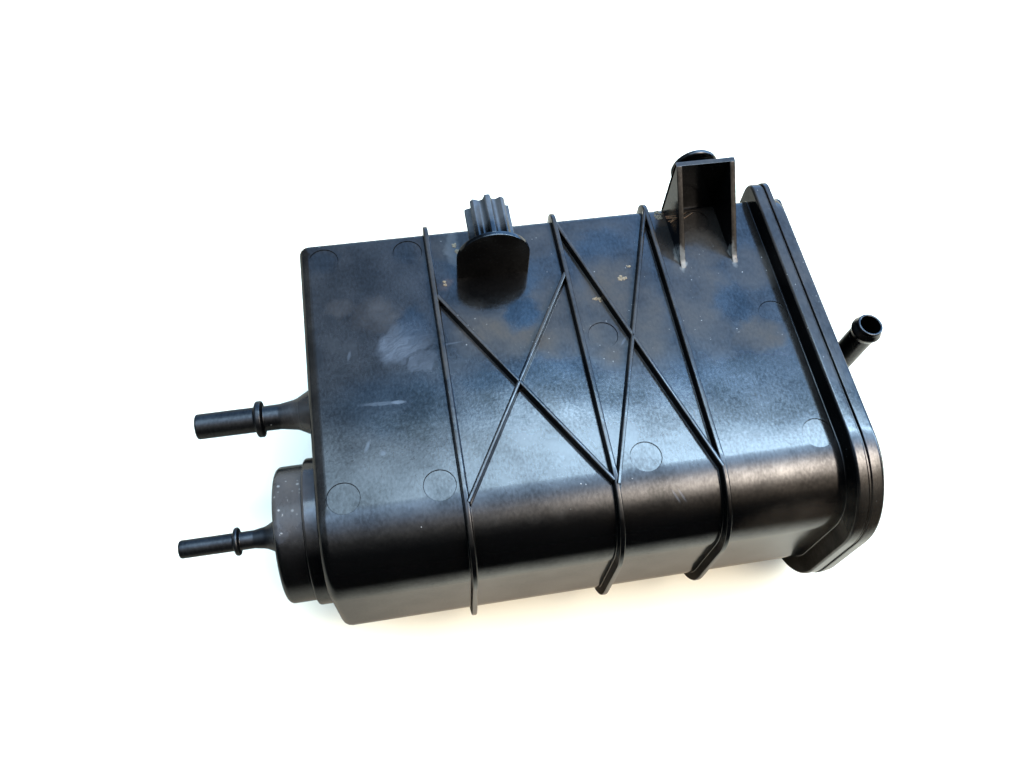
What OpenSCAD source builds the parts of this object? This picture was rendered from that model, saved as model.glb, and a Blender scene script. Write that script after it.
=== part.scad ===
// Charcoal canister: a welded plastic box of activated carbon that traps fuel vapour.
// It lies with its broad ribbed face up. Tank and purge spigots are at -X, the vent is at +X,
// and the two pegs that hang it in its bracket point to +Y.

/* [Body] */
// Length of the body, from the port end to the back of the weld flange
body_l = 214.5; // [190:0.5:240]
// Width of the broad face
body_w = 158; // [145:0.5:175]
// Thickness of the body
body_t = 94; // [86:0.5:104]
// Radius of the two long edges on the near side
near_r = 28.5; // [20:0.5:36]
// Radius of the two long edges on the far side
far_r = 4; // [3.5:0.1:8]
// Wall of the body, the cover and the purge cap
wall = 2.6; // [2:0.1:3.2]

/* [Weld flange] */
// How far the flange stands out from the body
flange_over = 8.7; // [6:0.1:11]
// How far the flange stands out on the far side
flange_far_over = 4.6; // [3:0.1:8]
// Radius of the flange's two long edges on the far side
flange_far_r = 7; // [5:0.1:12]
// Thickness of the body's flange
flange_t = 5.2; // [4:0.1:7]
// Thickness of the cover's flange
cover_flange_t = 2.4; // [2:0.1:4]
// Thickness of the shoulder behind the cover's flange
shoulder_t = 3.8; // [3:0.1:5]
// How much lower the shoulder is than the cover's flange
shoulder_drop = 0.4; // [0.2:0.1:1]
// How far the shoulder stands out on the far side
shoulder_far_over = 1.6; // [1:0.1:4]
// Radius of the shoulder's two long edges on the far side
shoulder_far_r = 20; // [14:0.5:20]
// Width of the groove between the two flanges
groove_w = 0.7; // [0.4:0.1:1.2]
// Depth of that groove
groove_deep = 1.2; // [0.6:0.1:2]
// How much the cover's flange is larger than the body's
cover_lip = 0.4; // [0:0.1:1]
// Height of the cover's raised centre
pan_h = 5.4; // [4:0.1:8]

/* [Ribs] */
// First hoop rib, from the port end
rib_1_x = 58.3; // [45:0.1:70]
// Second hoop rib, from the port end
rib_2_x = 118.2; // [105:0.1:125]
// Third hoop rib, from the port end
rib_3_x = 162.6; // [150:0.1:168]
// Thickness of a hoop rib
rib_t = 2.4; // [1.6:0.1:3.5]
// Height of the ribs and braces
rib_h = 3.9; // [2.5:0.1:5]
// Thickness of a diagonal brace
brace_t = 2; // [1.4:0.1:3]
// Near end of all braces, from the near side
brace_near_y = 22; // [16:0.5:30]
// Far end of the first pair of braces
brace_1_far_y = 123; // [110:0.5:127]
// Far end of the second pair of braces
brace_2_far_y = 154; // [135:0.5:154]
// Diameter of a moulding pin's mark on the broad face
mark_d = 13.3; // [8:0.1:16]
// Depth of that mark
mark_deep = 0.25; // [0.1:0.05:0.6]
// Near row of marks, from the near side
mark_near_y = 32; // [25:0.5:40]
// Far row of marks, from the near side
mark_far_y = 147; // [138:0.5:149]

/* [Tank spigot] */
// Distance of the spigot from the near side
tank_y = 96; // [88:0.5:120]
// Outside diameter of the tube
tank_tube_d = 11.8; // [11:0.1:13]
// Diameter of the retaining bead
tank_bead_d = 17; // [15:0.1:19]
// Width of the retaining bead
tank_bead_w = 5; // [4:0.1:6]
// Middle of the bead, from the port end
tank_bead_x = 28.3; // [24:0.1:32]
// Length of the spigot from the port end
tank_l = 56.9; // [50:0.1:64]
// Diameter of the flared root
tank_root_d = 26.4; // [20:0.1:30]
// Length of the flared root
tank_root_l = 18; // [12:0.1:22]
// Bore of the spigot
tank_bore_d = 8.4; // [7:0.1:9.4]

/* [Purge cap] */
// Distance of the cap's centre from the near side
purge_y = 38; // [35:0.5:40]
// Diameter of the collar on the body's end
collar_d = 63.5; // [60:0.5:68]
// Length of the collar
collar_l = 5.3; // [4.5:0.1:8]
// Diameter of the round cap
cap_d = 59; // [56:0.5:60]
// Length of the round cap
cap_l = 13.2; // [11:0.1:18]
// Radius of the cap's outer edge
cap_edge_r = 2.4; // [1:0.1:2.6]
// Outside diameter of the purge tube
purge_tube_d = 7.89; // [7:0.01:9]
// Diameter of its retaining bead
purge_bead_d = 12.2; // [11:0.1:14]
// Width of its retaining bead
purge_bead_w = 3.6; // [3:0.1:4.5]
// Middle of its bead, from the cap's face
purge_bead_x = 21; // [18:0.1:24]
// Length of the purge tube from the cap's face
purge_l = 45.2; // [40:0.1:52]
// Diameter of its flared root
purge_root_d = 18; // [12:0.1:22]
// Length of its flared root
purge_root_l = 12; // [8:0.1:16]
// Bore of the purge tube
purge_bore_d = 5.2; // [4:0.1:6]

/* [Vent nozzle] */
// Outside diameter of the nozzle
vent_tube_d = 11.4; // [10:0.1:12.5]
// Diameter of the bead near its tip
vent_bead_d = 14; // [13:0.1:15.5]
// Outside diameter of the thicker elbow
vent_elbow_d = 12.8; // [12:0.1:14.5]
// Bore of the nozzle's stem
vent_bore_d = 9.2; // [8.4:0.1:9.6]
// Bore of the elbow
vent_elbow_bore_d = 8; // [6:0.1:8]
// Radius of the elbow's centre line
vent_bend_r = 11; // [9:0.5:15]
// Straight run from the cover to the elbow
vent_run = 1.5; // [1:0.1:6]
// Lean of the nozzle away from the cover, in degrees
vent_lean = 5; // [0:0.5:12]
// Height of the tip above the broad face
vent_tip_z = 2; // [-10:0.5:10]
// Middle of the bead, from the tip
vent_bead_down = 4.2; // [3.5:0.1:8]

/* [Star peg and stop plate] */
// Middle of the peg, from the port end
peg_x = 85.6; // [78:0.1:92]
// Axis height of the peg above the broad face
peg_z = 18.7; // [15:0.1:20]
// Diameter across the fins
star_d = 20; // [17:0.1:22]
// Diameter of the core between the fins
star_core_d = 13.6; // [10:0.1:15]
// Thickness of a fin
fin_t = 2.3; // [1.6:0.1:3]
// Number of fins
fin_count = 8; // [6:1:10]
// Length of the peg behind the plate
star_l = 20.4; // [16:0.1:24]
// Near face of the stop plate, from the near side
plate_y = 129.5; // [128:0.1:132]
// Width of the stop plate
plate_w = 32.6; // [28:0.1:35]
// Height of the stop plate
plate_h = 28.6; // [26:0.1:31]
// Thickness of the stop plate
plate_t = 2.2; // [1.6:0.1:3]
// Thickness of the web under the peg
web_t = 3; // [2:0.1:4]
// Length of that web behind the plate
web_l = 16; // [10:0.1:18]

/* [Gusset bracket] */
// Middle of the bracket, from the port end
bracket_x = 185.7; // [183:0.1:188]
// Width of the bracket
bracket_w = 27.5; // [25:0.1:30]
// Height of the bracket above the broad face
bracket_h = 30.5; // [28:0.1:34]
// Thickness of its back wall and gussets
bracket_t = 2.6; // [2:0.1:3.2]
// Length of a gusset's foot on the broad face
gusset_l = 36.5; // [30:0.1:42]
// Axis height of the headed peg above the broad face
head_z = 17.5; // [14:0.1:19]
// Diameter of the peg's shank
shank_d = 12; // [9:0.1:14]
// Length of the peg's shank
shank_l = 5.8; // [5:0.1:10]
// Diameter of the peg's head
head_d = 21.8; // [18:0.1:23]
// Thickness of the peg's head
head_t = 2.8; // [1.8:0.1:4]

/* [Inside] */
// Space between the port end's wall and the support grids
plenum_l = 11.5; // [8:0.1:15]
// Thickness of a support grid and of the pressure plate
grid_t = 3; // [2:0.1:4]
// Bar between two windows of a grid
grid_bar = 4; // [3:0.1:6]
// Window of a grid
grid_window = 12; // [8:0.5:16]
// Thickness of a fleece
fleece_t = 3; // [2:0.1:5]
// Thickness of the foam pad
foam_t = 6; // [4:0.1:9]
// Divider between the tank side and the purge side, from the near side
divider_y = 71; // [69:0.5:76]
// Thickness of the divider
divider_t = 2.2; // [1.6:0.1:3]
// Reach of the divider into the carbon
divider_in = 16; // [8:0.5:30]
// Room between a fitted piece and the wall beside it
fit_gap = 0.4; // [0.2:0.05:0.8]
// Diameter of a support post
post_d = 6; // [4:0.1:8]
// Length of a fitted spring
spring_l = 30; // [24:0.5:36]
// Mean diameter of a spring's coil
spring_d = 16; // [13:0.1:20]
// Diameter of the spring wire
wire_d = 1.6; // [1.2:0.1:2]
// Turns in a spring
spring_turns = 6; // [5:1:8]
// Height of the pips that centre a spring
pip_h = 5; // [3:0.1:7]
// Thickness of the purge dust screen
screen_t = 2; // [1.2:0.1:3]
// Thickness of the purge dust foam
dust_foam_t = 8; // [5:0.1:8.4]
// Ledge that the dust screen sits on
screen_ledge = 3; // [2:0.1:4]

/* [Hidden] */
$fn = 64;
// How far a joined shape sinks into its neighbour, and a cut runs past a face
sink = 0.6;
past = 1;
eps = 0.01;
tip_chamfer = 1;
// A flared root is a cone that blends into its tube: where the blend starts, and how wide it is there
flare_at = 0.7;
flare_share = 0.18;
mid_w = body_w / 2;
mid_z = -body_t / 2;

// Stations along X
flange_x1 = body_l + flange_t;
cover_x0 = flange_x1 + groove_w;
shoulder_x0 = cover_x0 + cover_flange_t;
pan_x0 = shoulder_x0 + shoulder_t;
pan_x1 = pan_x0 + pan_h;
cap_x0 = -collar_l - cap_l;
grid_x0 = wall + plenum_l;
fleece_x0 = grid_x0 + grid_t;
bed_x0 = fleece_x0 + fleece_t;
cover_in_x = pan_x1 - wall;
plate_x1 = cover_in_x - spring_l;
plate_x0 = plate_x1 - grid_t;
foam_x0 = plate_x0 - foam_t;
vent_fleece_x0 = foam_x0 - fleece_t;
divider_x1 = bed_x0 + divider_in;

// Vent nozzle: the elbow turns the run up, short of a right angle by the lean
vent_turn = 90 - vent_lean;
elbow_x = pan_x1 + vent_run;
stem_x0 = elbow_x + vent_bend_r * sin(vent_turn);
stem_z0 = mid_z + vent_bend_r * (1 - cos(vent_turn));
stem_l = (vent_tip_z - stem_z0) / cos(vent_lean);
vent_bead_r = (vent_bead_d - vent_tube_d) / 2 + 1;

// Purge cap and collar
collar_bore_d = cap_d - 2 * wall - 2 * screen_ledge;
seat_d = cap_d - 2 * wall;

// Bracket
bracket_y1 = body_w;
head_y0 = bracket_y1 + shank_l;

// Springs and posts
pip_d = spring_d - wire_d - 2 * fit_gap;
spring_dy = body_w / 4;
spring_dz = body_t / 4;
post_dz = body_t / 2 - wall - near_r / 2;
post_purge_dy = purge_y - wall - near_r / 2;
post_tank_dy = (body_w - divider_y) / 4;
post_tank_y = (body_w + divider_y) / 2;

// Shift from the port end's near upper corner to the middle of the base
x_min = cap_x0 - purge_l;
bead_tip_l = stem_l - vent_bead_down;
x_max = stem_x0 + bead_tip_l * sin(vent_lean)
    + (vent_bead_d / 2 - vent_bead_r) * cos(vent_lean) + vent_bead_r;
y_min = -flange_over - cover_lip;
y_max = max(head_y0 + head_t, body_w + flange_far_over + cover_lip);
z_min = -body_t - flange_over - cover_lip;

// Places of the moulding pins' marks, as [X, Y]: each keeps its distance from a rib or an end
mark_from_end = 11.3;
mark_before_rib = 9.3;
mark_past_rib = 15;
mark_past_rib_mid = 10;
mark_from_flange = 7.5;
mark_mid_y = (mark_near_y + mark_far_y) / 2;
marks = [
    for (x = [mark_from_end, rib_1_x - mark_before_rib, rib_2_x + mark_past_rib, body_l - mark_from_flange])
        [x, mark_near_y],
    for (x = [mark_from_end, rib_1_x - mark_before_rib, bracket_x]) [x, mark_far_y],
    for (x = [rib_2_x + mark_past_rib_mid, body_l - mark_from_flange]) [x, mark_mid_y]
];

plastic = "#20242b";
plastic_cap = "#2c2a28";

module placed() {
    translate([-(x_min + x_max) / 2, -(y_min + y_max) / 2, -z_min]) children();
}

// The canister's cross-section in Y and Z, grown by g, or by far_g and to far radius fr on the far side
module section(g, far_g, fr) {
    nr = near_r + g;
    y0 = -g;
    y1 = body_w + far_g;
    z0 = -body_t - g;
    z1 = g;
    translate([y0 + nr, z0]) square([y1 - fr - y0 - nr, z1 - z0]);
    translate([y0, z0 + nr]) square([nr, z1 - z0 - 2 * nr]);
    translate([y1 - fr, z0 + fr]) square([fr, z1 - z0 - 2 * fr]);
    for (z = [z0 + nr, z1 - nr]) translate([y0 + nr, z]) circle(nr);
    for (z = [z0 + fr, z1 - fr]) translate([y1 - fr, z]) circle(fr);
}

// A slab of that section between two stations along X
module slab(x0, x1, g = 0) {
    translate([x0, 0, 0]) rotate([90, 0, 90]) linear_extrude(x1 - x0) section(g, g, far_r + g);
}

// A slab of the weld flange, larger by lip all round
module flange_slab(x0, x1, lip = 0) {
    translate([x0, 0, 0]) rotate([90, 0, 90]) linear_extrude(x1 - x0)
        section(flange_over + lip, flange_far_over + lip, flange_far_r + lip);
}

// The cover's shoulder: a little lower than its flange, with wide rounds on the far side
module shoulder() {
    translate([shoulder_x0 - sink, 0, 0]) rotate([90, 0, 90]) linear_extrude(shoulder_t + sink)
        section(flange_over + cover_lip - shoulder_drop, shoulder_far_over, shoulder_far_r);
}

// A solid of revolution on an axis along -X, from a profile of [radius, distance] points
module turned(y, points) {
    translate([0, y, mid_z]) rotate([0, -90, 0]) rotate_extrude() polygon(points);
}

// A round bar along X
module bar_x(y, z, x0, x1, d) {
    translate([x0, y, z]) rotate([0, 90, 0]) cylinder(d = d, h = x1 - x0);
}

// A quick-fit spigot: flared root, shank, bead and tube, starting at distance x0 from the end
function spigot_profile(x0, root_d, root_l, tube_d, bead_d, bead_w, bead_x, length) = [
    [0, x0 - sink],
    [root_d / 2, x0 - sink],
    [root_d / 2, x0],
    [tube_d / 2 + flare_share * (root_d - tube_d) / 2, x0 + flare_at * root_l],
    [tube_d / 2, x0 + root_l],
    [tube_d / 2, x0 + bead_x - bead_w / 2],
    [bead_d / 2, x0 + bead_x - bead_w / 3],
    [bead_d / 2, x0 + bead_x + bead_w / 4],
    [tube_d / 2, x0 + bead_x + bead_w / 2],
    [tube_d / 2, x0 + length - tip_chamfer],
    [tube_d / 2 - tip_chamfer / 2, x0 + length],
    [0, x0 + length]
];

// A straight brace on the broad face between two points
module brace(x0, y0, x1, y1) {
    dx = x1 - x0;
    dy = y1 - y0;
    translate([x0, y0, -sink]) rotate([0, 0, atan2(dy, dx)])
        translate([0, -brace_t / 2, 0]) cube([norm([dx, dy]), brace_t, rib_h + sink]);
}

module brace_pair(x0, x1, far_y) {
    brace(x0, brace_near_y, x1, far_y);
    brace(x0, far_y, x1, brace_near_y);
}

// Fluted peg that pushes into a rubber bush, with its stop plate and web
module star_peg() {
    back_y = plate_y + plate_t;
    arc_z = plate_h - plate_w / 2;
    translate([peg_x, back_y - sink, peg_z]) rotate([-90, 0, 0]) {
        cylinder(d = star_core_d, h = star_l + sink);
        intersection() {
            cylinder(d = star_d, h = star_l + sink);
            for (i = [0:fin_count - 1]) rotate([0, 0, i * 360 / fin_count])
                translate([0, -fin_t / 2, 0]) cube([star_d, fin_t, star_l + sink]);
        }
    }
    translate([peg_x, back_y, 0]) rotate([90, 0, 0]) linear_extrude(plate_t) intersection() {
        translate([-plate_w / 2, -sink]) square([plate_w, plate_h + sink]);
        union() {
            translate([-plate_w / 2, -sink]) square([plate_w, arc_z + sink]);
            translate([0, arc_z]) circle(d = plate_w);
        }
    }
    translate([peg_x - web_t / 2, back_y - sink, -sink]) cube([web_t, web_l + sink, peg_z + sink]);
}

// Wall with two gussets that carries the headed peg
module gusset_bracket() {
    y0 = bracket_y1 - bracket_t;
    translate([bracket_x - bracket_w / 2, y0, -far_r]) cube([bracket_w, bracket_t, bracket_h + far_r]);
    for (side = [-1, 1])
        translate([bracket_x + side * (bracket_w - bracket_t) / 2, 0, 0]) rotate([90, 0, 90])
            translate([0, 0, -bracket_t / 2]) linear_extrude(bracket_t) polygon([
                [bracket_y1 - gusset_l, -sink], [bracket_y1 - gusset_l, 0],
                [y0, bracket_h], [bracket_y1 - eps, bracket_h], [bracket_y1 - eps, -sink]
            ]);
    translate([bracket_x, y0 + sink, head_z]) rotate([-90, 0, 0]) {
        cylinder(d = shank_d, h = shank_l + bracket_t);
        translate([0, 0, shank_l + bracket_t - sink]) cylinder(d = head_d, h = head_t);
    }
}

// Posts inside the port end that carry the two grids
module support_posts() {
    for (dz = [-post_dz, post_dz], dy = [-1, 1]) {
        bar_x(purge_y + dy * post_purge_dy, mid_z + dz, wall - sink, grid_x0, post_d);
        bar_x(post_tank_y + dy * post_tank_dy, mid_z + dz, wall - sink, grid_x0, post_d);
    }
}

module divider() {
    translate([wall - sink, divider_y - divider_t / 2, -body_t + wall - sink])
        cube([divider_x1 - wall + sink, divider_t, body_t - 2 * wall + 2 * sink]);
}

module canister_body() {
    placed() color(plastic) difference() {
        union() {
            difference() {
                union() {
                    slab(0, flange_x1 + groove_w / 2);
                    for (x = [rib_1_x, rib_2_x, rib_3_x]) slab(x - rib_t / 2, x + rib_t / 2, rib_h);
                    flange_slab(body_l, flange_x1);
                    flange_slab(flange_x1 - sink, cover_x0, -groove_deep);
                    bar_x(purge_y, mid_z, -collar_l, sink, collar_d);
                }
                slab(wall, cover_x0 + past, -wall);
                for (m = marks) translate([m[0], m[1], -mark_deep]) cylinder(d = mark_d, h = past);
            }
            turned(tank_y, spigot_profile(0, tank_root_d, tank_root_l, tank_tube_d,
                tank_bead_d, tank_bead_w, tank_bead_x, tank_l));
            brace_pair(rib_1_x, rib_2_x, brace_1_far_y);
            brace_pair(rib_2_x, rib_3_x, brace_2_far_y);
            star_peg();
            gusset_bracket();
            support_posts();
            divider();
        }
        bar_x(tank_y, mid_z, -tank_l - past, wall + past, tank_bore_d);
        bar_x(purge_y, mid_z, -collar_l - past, wall + past, collar_bore_d);
        bar_x(purge_y, mid_z, -collar_l - past, -collar_l + screen_t, seat_d);
    }
}

// The nozzle's path as a solid: run and elbow of one diameter, then a stem that starts inside the elbow
module vent_path(elbow_d, stem_d, x0, over) {
    bar_x(mid_w, mid_z, x0, elbow_x, elbow_d);
    translate([elbow_x, mid_w, mid_z + vent_bend_r]) rotate([90, 0, 0])
        rotate_extrude(angle = vent_turn, start = -90) translate([vent_bend_r, 0]) circle(d = elbow_d);
    on_stem(-sink) cylinder(d = stem_d, h = stem_l + sink + over);
}

// A place on the nozzle's leaning stem, at a distance from its foot
module on_stem(up) {
    translate([stem_x0, mid_w, stem_z0]) rotate([0, vent_lean, 0]) translate([0, 0, up]) children();
}

module spring_places() {
    for (sy = [-1, 1], sz = [-1, 1])
        translate([0, mid_w + sy * spring_dy, mid_z + sz * spring_dz]) children();
}

module end_cover() {
    placed() color(plastic) difference() {
        union() {
            difference() {
                union() {
                    flange_slab(cover_x0, shoulder_x0, cover_lip);
                    shoulder();
                    slab(pan_x0 - sink, pan_x1);
                }
                slab(cover_x0 - past, cover_in_x, -wall);
            }
            spring_places() bar_x(0, 0, cover_in_x - pip_h, cover_in_x + sink, pip_d);
            vent_path(vent_elbow_d, vent_tube_d, pan_x1 - sink, 0);
            on_stem(bead_tip_l) rotate_extrude()
                translate([vent_bead_d / 2 - vent_bead_r, 0]) circle(vent_bead_r);
        }
        vent_path(vent_elbow_bore_d, vent_bore_d, cover_in_x - past, past);
    }
}

module purge_cap() {
    r = cap_d / 2;
    placed() color(plastic_cap) difference() {
        union() {
            translate([-collar_l, purge_y, mid_z]) rotate([0, -90, 0]) rotate_extrude() {
                square([r, cap_l - cap_edge_r]);
                square([r - cap_edge_r, cap_l]);
                translate([r - cap_edge_r, cap_l - cap_edge_r]) circle(cap_edge_r);
            }
            turned(purge_y, spigot_profile(-cap_x0, purge_root_d, purge_root_l, purge_tube_d,
                purge_bead_d, purge_bead_w, purge_bead_x, purge_l));
        }
        bar_x(purge_y, mid_z, cap_x0 + wall, -collar_l + past, seat_d);
        bar_x(purge_y, mid_z, x_min - past, cap_x0 + wall + past, purge_bore_d);
    }
}

// Square windows of a grid inside a field of Y and Z
module windows(x0, y0, y1, z0, z1) {
    pitch = grid_window + grid_bar;
    ny = floor((y1 - y0 - grid_bar) / pitch);
    nz = floor((z1 - z0 - grid_bar) / pitch);
    y_first = (y0 + y1 - ny * pitch + grid_bar) / 2;
    z_first = (z0 + z1 - nz * pitch + grid_bar) / 2;
    for (i = [0:ny - 1], j = [0:nz - 1])
        translate([x0 - past, y_first + i * pitch, z_first + j * pitch])
            cube([grid_t + 2 * past, grid_window, grid_window]);
}

module purge_dust_screen() {
    d = seat_d - 2 * fit_gap;
    side = d / sqrt(2);
    placed() color("#3a3a38") difference() {
        bar_x(purge_y, mid_z, -collar_l, -collar_l + screen_t, d);
        windows(-collar_l, purge_y - side / 2, purge_y + side / 2, mid_z - side / 2, mid_z + side / 2);
    }
}

module purge_dust_foam() {
    placed() color("#6d6a60") bar_x(purge_y, mid_z, -collar_l - dust_foam_t, -collar_l, seat_d - 2 * fit_gap);
}

// One side of the divider: the near side holds the purge port, the far side the tank port
module half(far) {
    reach = body_w + body_t;
    edge = divider_y + (far ? 1 : -1) * (divider_t / 2 + fit_gap);
    intersection() {
        children();
        translate([-reach, far ? edge : edge - reach, -reach]) cube([4 * reach, reach, 2 * reach]);
    }
}

module fitted(x0, x1) {
    slab(x0, x1, -wall - fit_gap);
}

module grid_half(far) {
    inset = wall + grid_bar;
    edge = divider_y + (far ? 1 : -1) * (divider_t / 2 + fit_gap);
    difference() {
        half(far) fitted(grid_x0, fleece_x0);
        windows(grid_x0, far ? edge : near_r / 2, far ? body_w - inset : edge, -body_t + inset, -inset);
    }
}

module tank_grid() {
    placed() color("#2b2d30") grid_half(true);
}

module purge_grid() {
    placed() color("#2b2d30") grid_half(false);
}

module tank_fleece() {
    placed() color("#d8d5c8") half(true) fitted(fleece_x0, bed_x0);
}

module purge_fleece() {
    placed() color("#d8d5c8") half(false) fitted(fleece_x0, bed_x0);
}

module carbon_bed() {
    placed() color("#141414") difference() {
        fitted(bed_x0, vent_fleece_x0);
        translate([bed_x0 - past, divider_y - divider_t / 2 - fit_gap, -body_t])
            cube([divider_in + past + fit_gap, divider_t + 2 * fit_gap, body_t]);
    }
}

module vent_fleece() {
    placed() color("#d8d5c8") fitted(vent_fleece_x0, foam_x0);
}

module vent_foam() {
    placed() color("#55534d") fitted(foam_x0, plate_x0);
}

module pressure_plate() {
    inset = wall + fit_gap + grid_bar;
    placed() color("#33363a") {
        difference() {
            fitted(plate_x0, plate_x1);
            difference() {
                windows(plate_x0, near_r / 2, body_w - inset, -body_t + inset, -inset);
                spring_places() bar_x(0, 0, plate_x0 - 2 * past, plate_x1 + 2 * past, spring_d + 2 * wire_d);
            }
        }
        spring_places() bar_x(0, 0, plate_x1 - sink, plate_x1 + pip_h, pip_d);
    }
}

// A coil spring along X: a round wire swept along a helix with a closed turn at each end
module coil() {
    sides = 8;
    steps = 12 * spring_turns;
    r = spring_d / 2;
    end_pitch = 1.15 * wire_d;
    pitch = (spring_l - wire_d - 2 * end_pitch) / (spring_turns - 2);
    // The end turns lie close, and the turns between them climb evenly
    function climb(t) = let (n = t * spring_turns) wire_d / 2 + end_pitch * min(n, 1)
        + pitch * min(max(n - 1, 0), spring_turns - 2) + end_pitch * max(n - spring_turns + 1, 0);
    rings = [for (i = [0:steps], k = [0:sides - 1])
        let (t = i / steps, a = 360 * spring_turns * t, b = 360 * k / sides, rr = r + wire_d / 2 * cos(b))
        [climb(t) + wire_d / 2 * sin(b), rr * cos(a), rr * sin(a)]];
    skin = [for (i = [0:steps - 1], k = [0:sides - 1])
        let (n = (k + 1) % sides)
        [i * sides + k, i * sides + n, (i + 1) * sides + n, (i + 1) * sides + k]];
    first_cap = [for (k = [0:sides - 1]) sides - 1 - k];
    last_cap = [for (k = [0:sides - 1]) steps * sides + k];
    polyhedron(rings, concat(skin, [first_cap, last_cap]));
}

module spring_at(sy, sz) {
    placed() color("#8d9094")
        translate([plate_x1, mid_w + sy * spring_dy, mid_z + sz * spring_dz]) coil();
}

module spring_near_top() { spring_at(-1, 1); }
module spring_near_bottom() { spring_at(-1, -1); }
module spring_far_top() { spring_at(1, 1); }
module spring_far_bottom() { spring_at(1, -1); }

canister_body();
end_cover();
purge_cap();
purge_dust_screen();
purge_dust_foam();
tank_grid();
purge_grid();
tank_fleece();
purge_fleece();
carbon_bed();
vent_fleece();
vent_foam();
pressure_plate();
spring_near_top();
spring_near_bottom();
spring_far_top();
spring_far_bottom();
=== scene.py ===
import math
import random
import bmesh
import bpy
from mathutils import Matrix, Vector


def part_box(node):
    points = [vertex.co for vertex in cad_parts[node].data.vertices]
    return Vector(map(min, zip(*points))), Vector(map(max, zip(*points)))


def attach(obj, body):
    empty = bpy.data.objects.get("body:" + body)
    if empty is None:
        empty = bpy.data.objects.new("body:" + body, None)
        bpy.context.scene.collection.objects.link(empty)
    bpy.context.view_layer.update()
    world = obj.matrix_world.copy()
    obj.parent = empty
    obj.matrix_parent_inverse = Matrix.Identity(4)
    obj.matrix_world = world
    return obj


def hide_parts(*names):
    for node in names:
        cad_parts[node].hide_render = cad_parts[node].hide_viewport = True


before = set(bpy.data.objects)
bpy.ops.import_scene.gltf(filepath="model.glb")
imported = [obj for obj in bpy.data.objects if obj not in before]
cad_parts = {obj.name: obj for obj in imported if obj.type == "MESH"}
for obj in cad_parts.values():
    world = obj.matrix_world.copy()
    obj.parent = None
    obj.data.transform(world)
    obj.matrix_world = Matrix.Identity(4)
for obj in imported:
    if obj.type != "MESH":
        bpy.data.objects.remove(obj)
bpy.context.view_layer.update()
print("frame loaded:", len(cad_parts), "nodes")

# The canister's own axes, in mm: X from the port end, Y from the near side, Z up from the broad face
shell = {
    "length": 214.5, "width": 158.0, "thick": 94.0, "wall": 2.6,
    "nearRadius": 28.5, "farRadius": 4.0, "leastRadius": 0.3, "endRadius": 4.4, "endIn": 0.6,
    "nearSteps": 24, "farSteps": 6,
}
flange = {
    "over": 8.7, "farOver": 4.6, "farRadius": 7.0, "thick": 5.2, "groove": 0.7, "grooveDeep": 0.6,
    "footRadius": 0.6, "frontRadius": 1.3, "backRadius": 0.6, "footAhead": 1.5,
    "coverThick": 2.4, "coverLip": 0.4, "pan": 5.4,
    "shoulder": 3.8, "shoulderDrop": 0.4, "shoulderFarOver": 1.6, "shoulderFarRadius": 20.0,
    # weld flash that swells out of the groove round the near side
    "flash": 0.5, "flashSwell": 1.6, "flashBelow": 0.3, "within": 0.01,
}
ribs = {
    "places": (58.3, 118.2, 162.6), "high": 3.9, "foot": 1.4, "top": 1.05,
    "footRadius": 0.3, "topRadius": 0.6,
}
tankSpigot = {
    "y": 96.0, "tube": 5.9, "bead": 8.5, "beadAt": 28.3, "beadWide": 4.3, "reach": 56.9,
    "root": 13.2, "rootLong": 18.0, "bore": 4.2, "holeGap": 0.5, "steps": 72,
}
bracket = {
    "x": 185.7, "wide": 27.5, "high": 30.5, "thick": 2.6, "wallDeep": 4.0, "wallEdge": 0.35,
    "gusset": 36.5, "toe": (3.0, 1.2, 6.0), "gussetLow": 0.02, "gussetIn": 0.1, "gussetRadius": 1.0,
    "gussetEdge": 0.3, "headZ": 17.5, "shank": 6.0, "shankLong": 5.8, "shankIn": 1.0, "shankFoot": 0.3,
    "neckRadius": 0.6, "head": 10.9, "headThick": 2.8, "headBack": 1.1, "headFront": 1.3, "headSteps": 64,
}
sunk, rooted = 0.6, 0.8  # how far a joined form and a standing foot run into the wall behind them
midY, midZ = shell["width"] / 2, -shell["thick"] / 2
flangeEnd = shell["length"] + flange["thick"]
coverStart = flangeEnd + flange["groove"]
shoulderStart = coverStart + flange["coverThick"]
panStart = shoulderStart + flange["shoulder"]
panEnd = panStart + flange["pan"]

# Where those axes start in the frame, found from the body's own box
mm = 0.001
bodyLow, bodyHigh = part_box("canister_body")
start = Vector((
    bodyLow.x + tankSpigot["reach"] * mm,
    bodyLow.y + flange["over"] * mm,
    bodyHigh.z - bracket["high"] * mm,
))
toFrame = Matrix.Translation(start) @ Matrix.Scale(mm, 4)

# Turns a circle or a rod to face along X, and an upright outline to grow towards the far side
alongX = Matrix.Rotation(math.pi / 2, 4, "Y")
toBack = Matrix.Rotation(-math.pi / 2, 4, "X") @ Matrix.Scale(-1, 4, (0, 1, 0))


# Small helpers for outlines, lathes and sweeps
def rounded(corners, steps=4, closed=False):
    # each corner is (a, b) or (a, b, radius)
    points = []
    last = len(corners) - 1
    for i, corner in enumerate(corners):
        at = Vector(corner[:2])
        if len(corner) < 3 or (not closed and i in (0, last)):
            points.append(at)
            continue
        back = (Vector(corners[i - 1][:2]) - at).normalized()
        ahead = (Vector(corners[(i + 1) % (last + 1)][:2]) - at).normalized()
        half = back.angle(ahead) / 2
        centre = at + (back + ahead).normalized() * (corner[2] / math.sin(half))
        first = at + back * (corner[2] / math.tan(half)) - centre
        final = at + ahead * (corner[2] / math.tan(half)) - centre
        turn = math.atan2(first.x * final.y - first.y * final.x, first.dot(final))
        for step in range(steps + 1):
            points.append(centre + Matrix.Rotation(turn * step / steps, 2) @ first)
    return points


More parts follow.
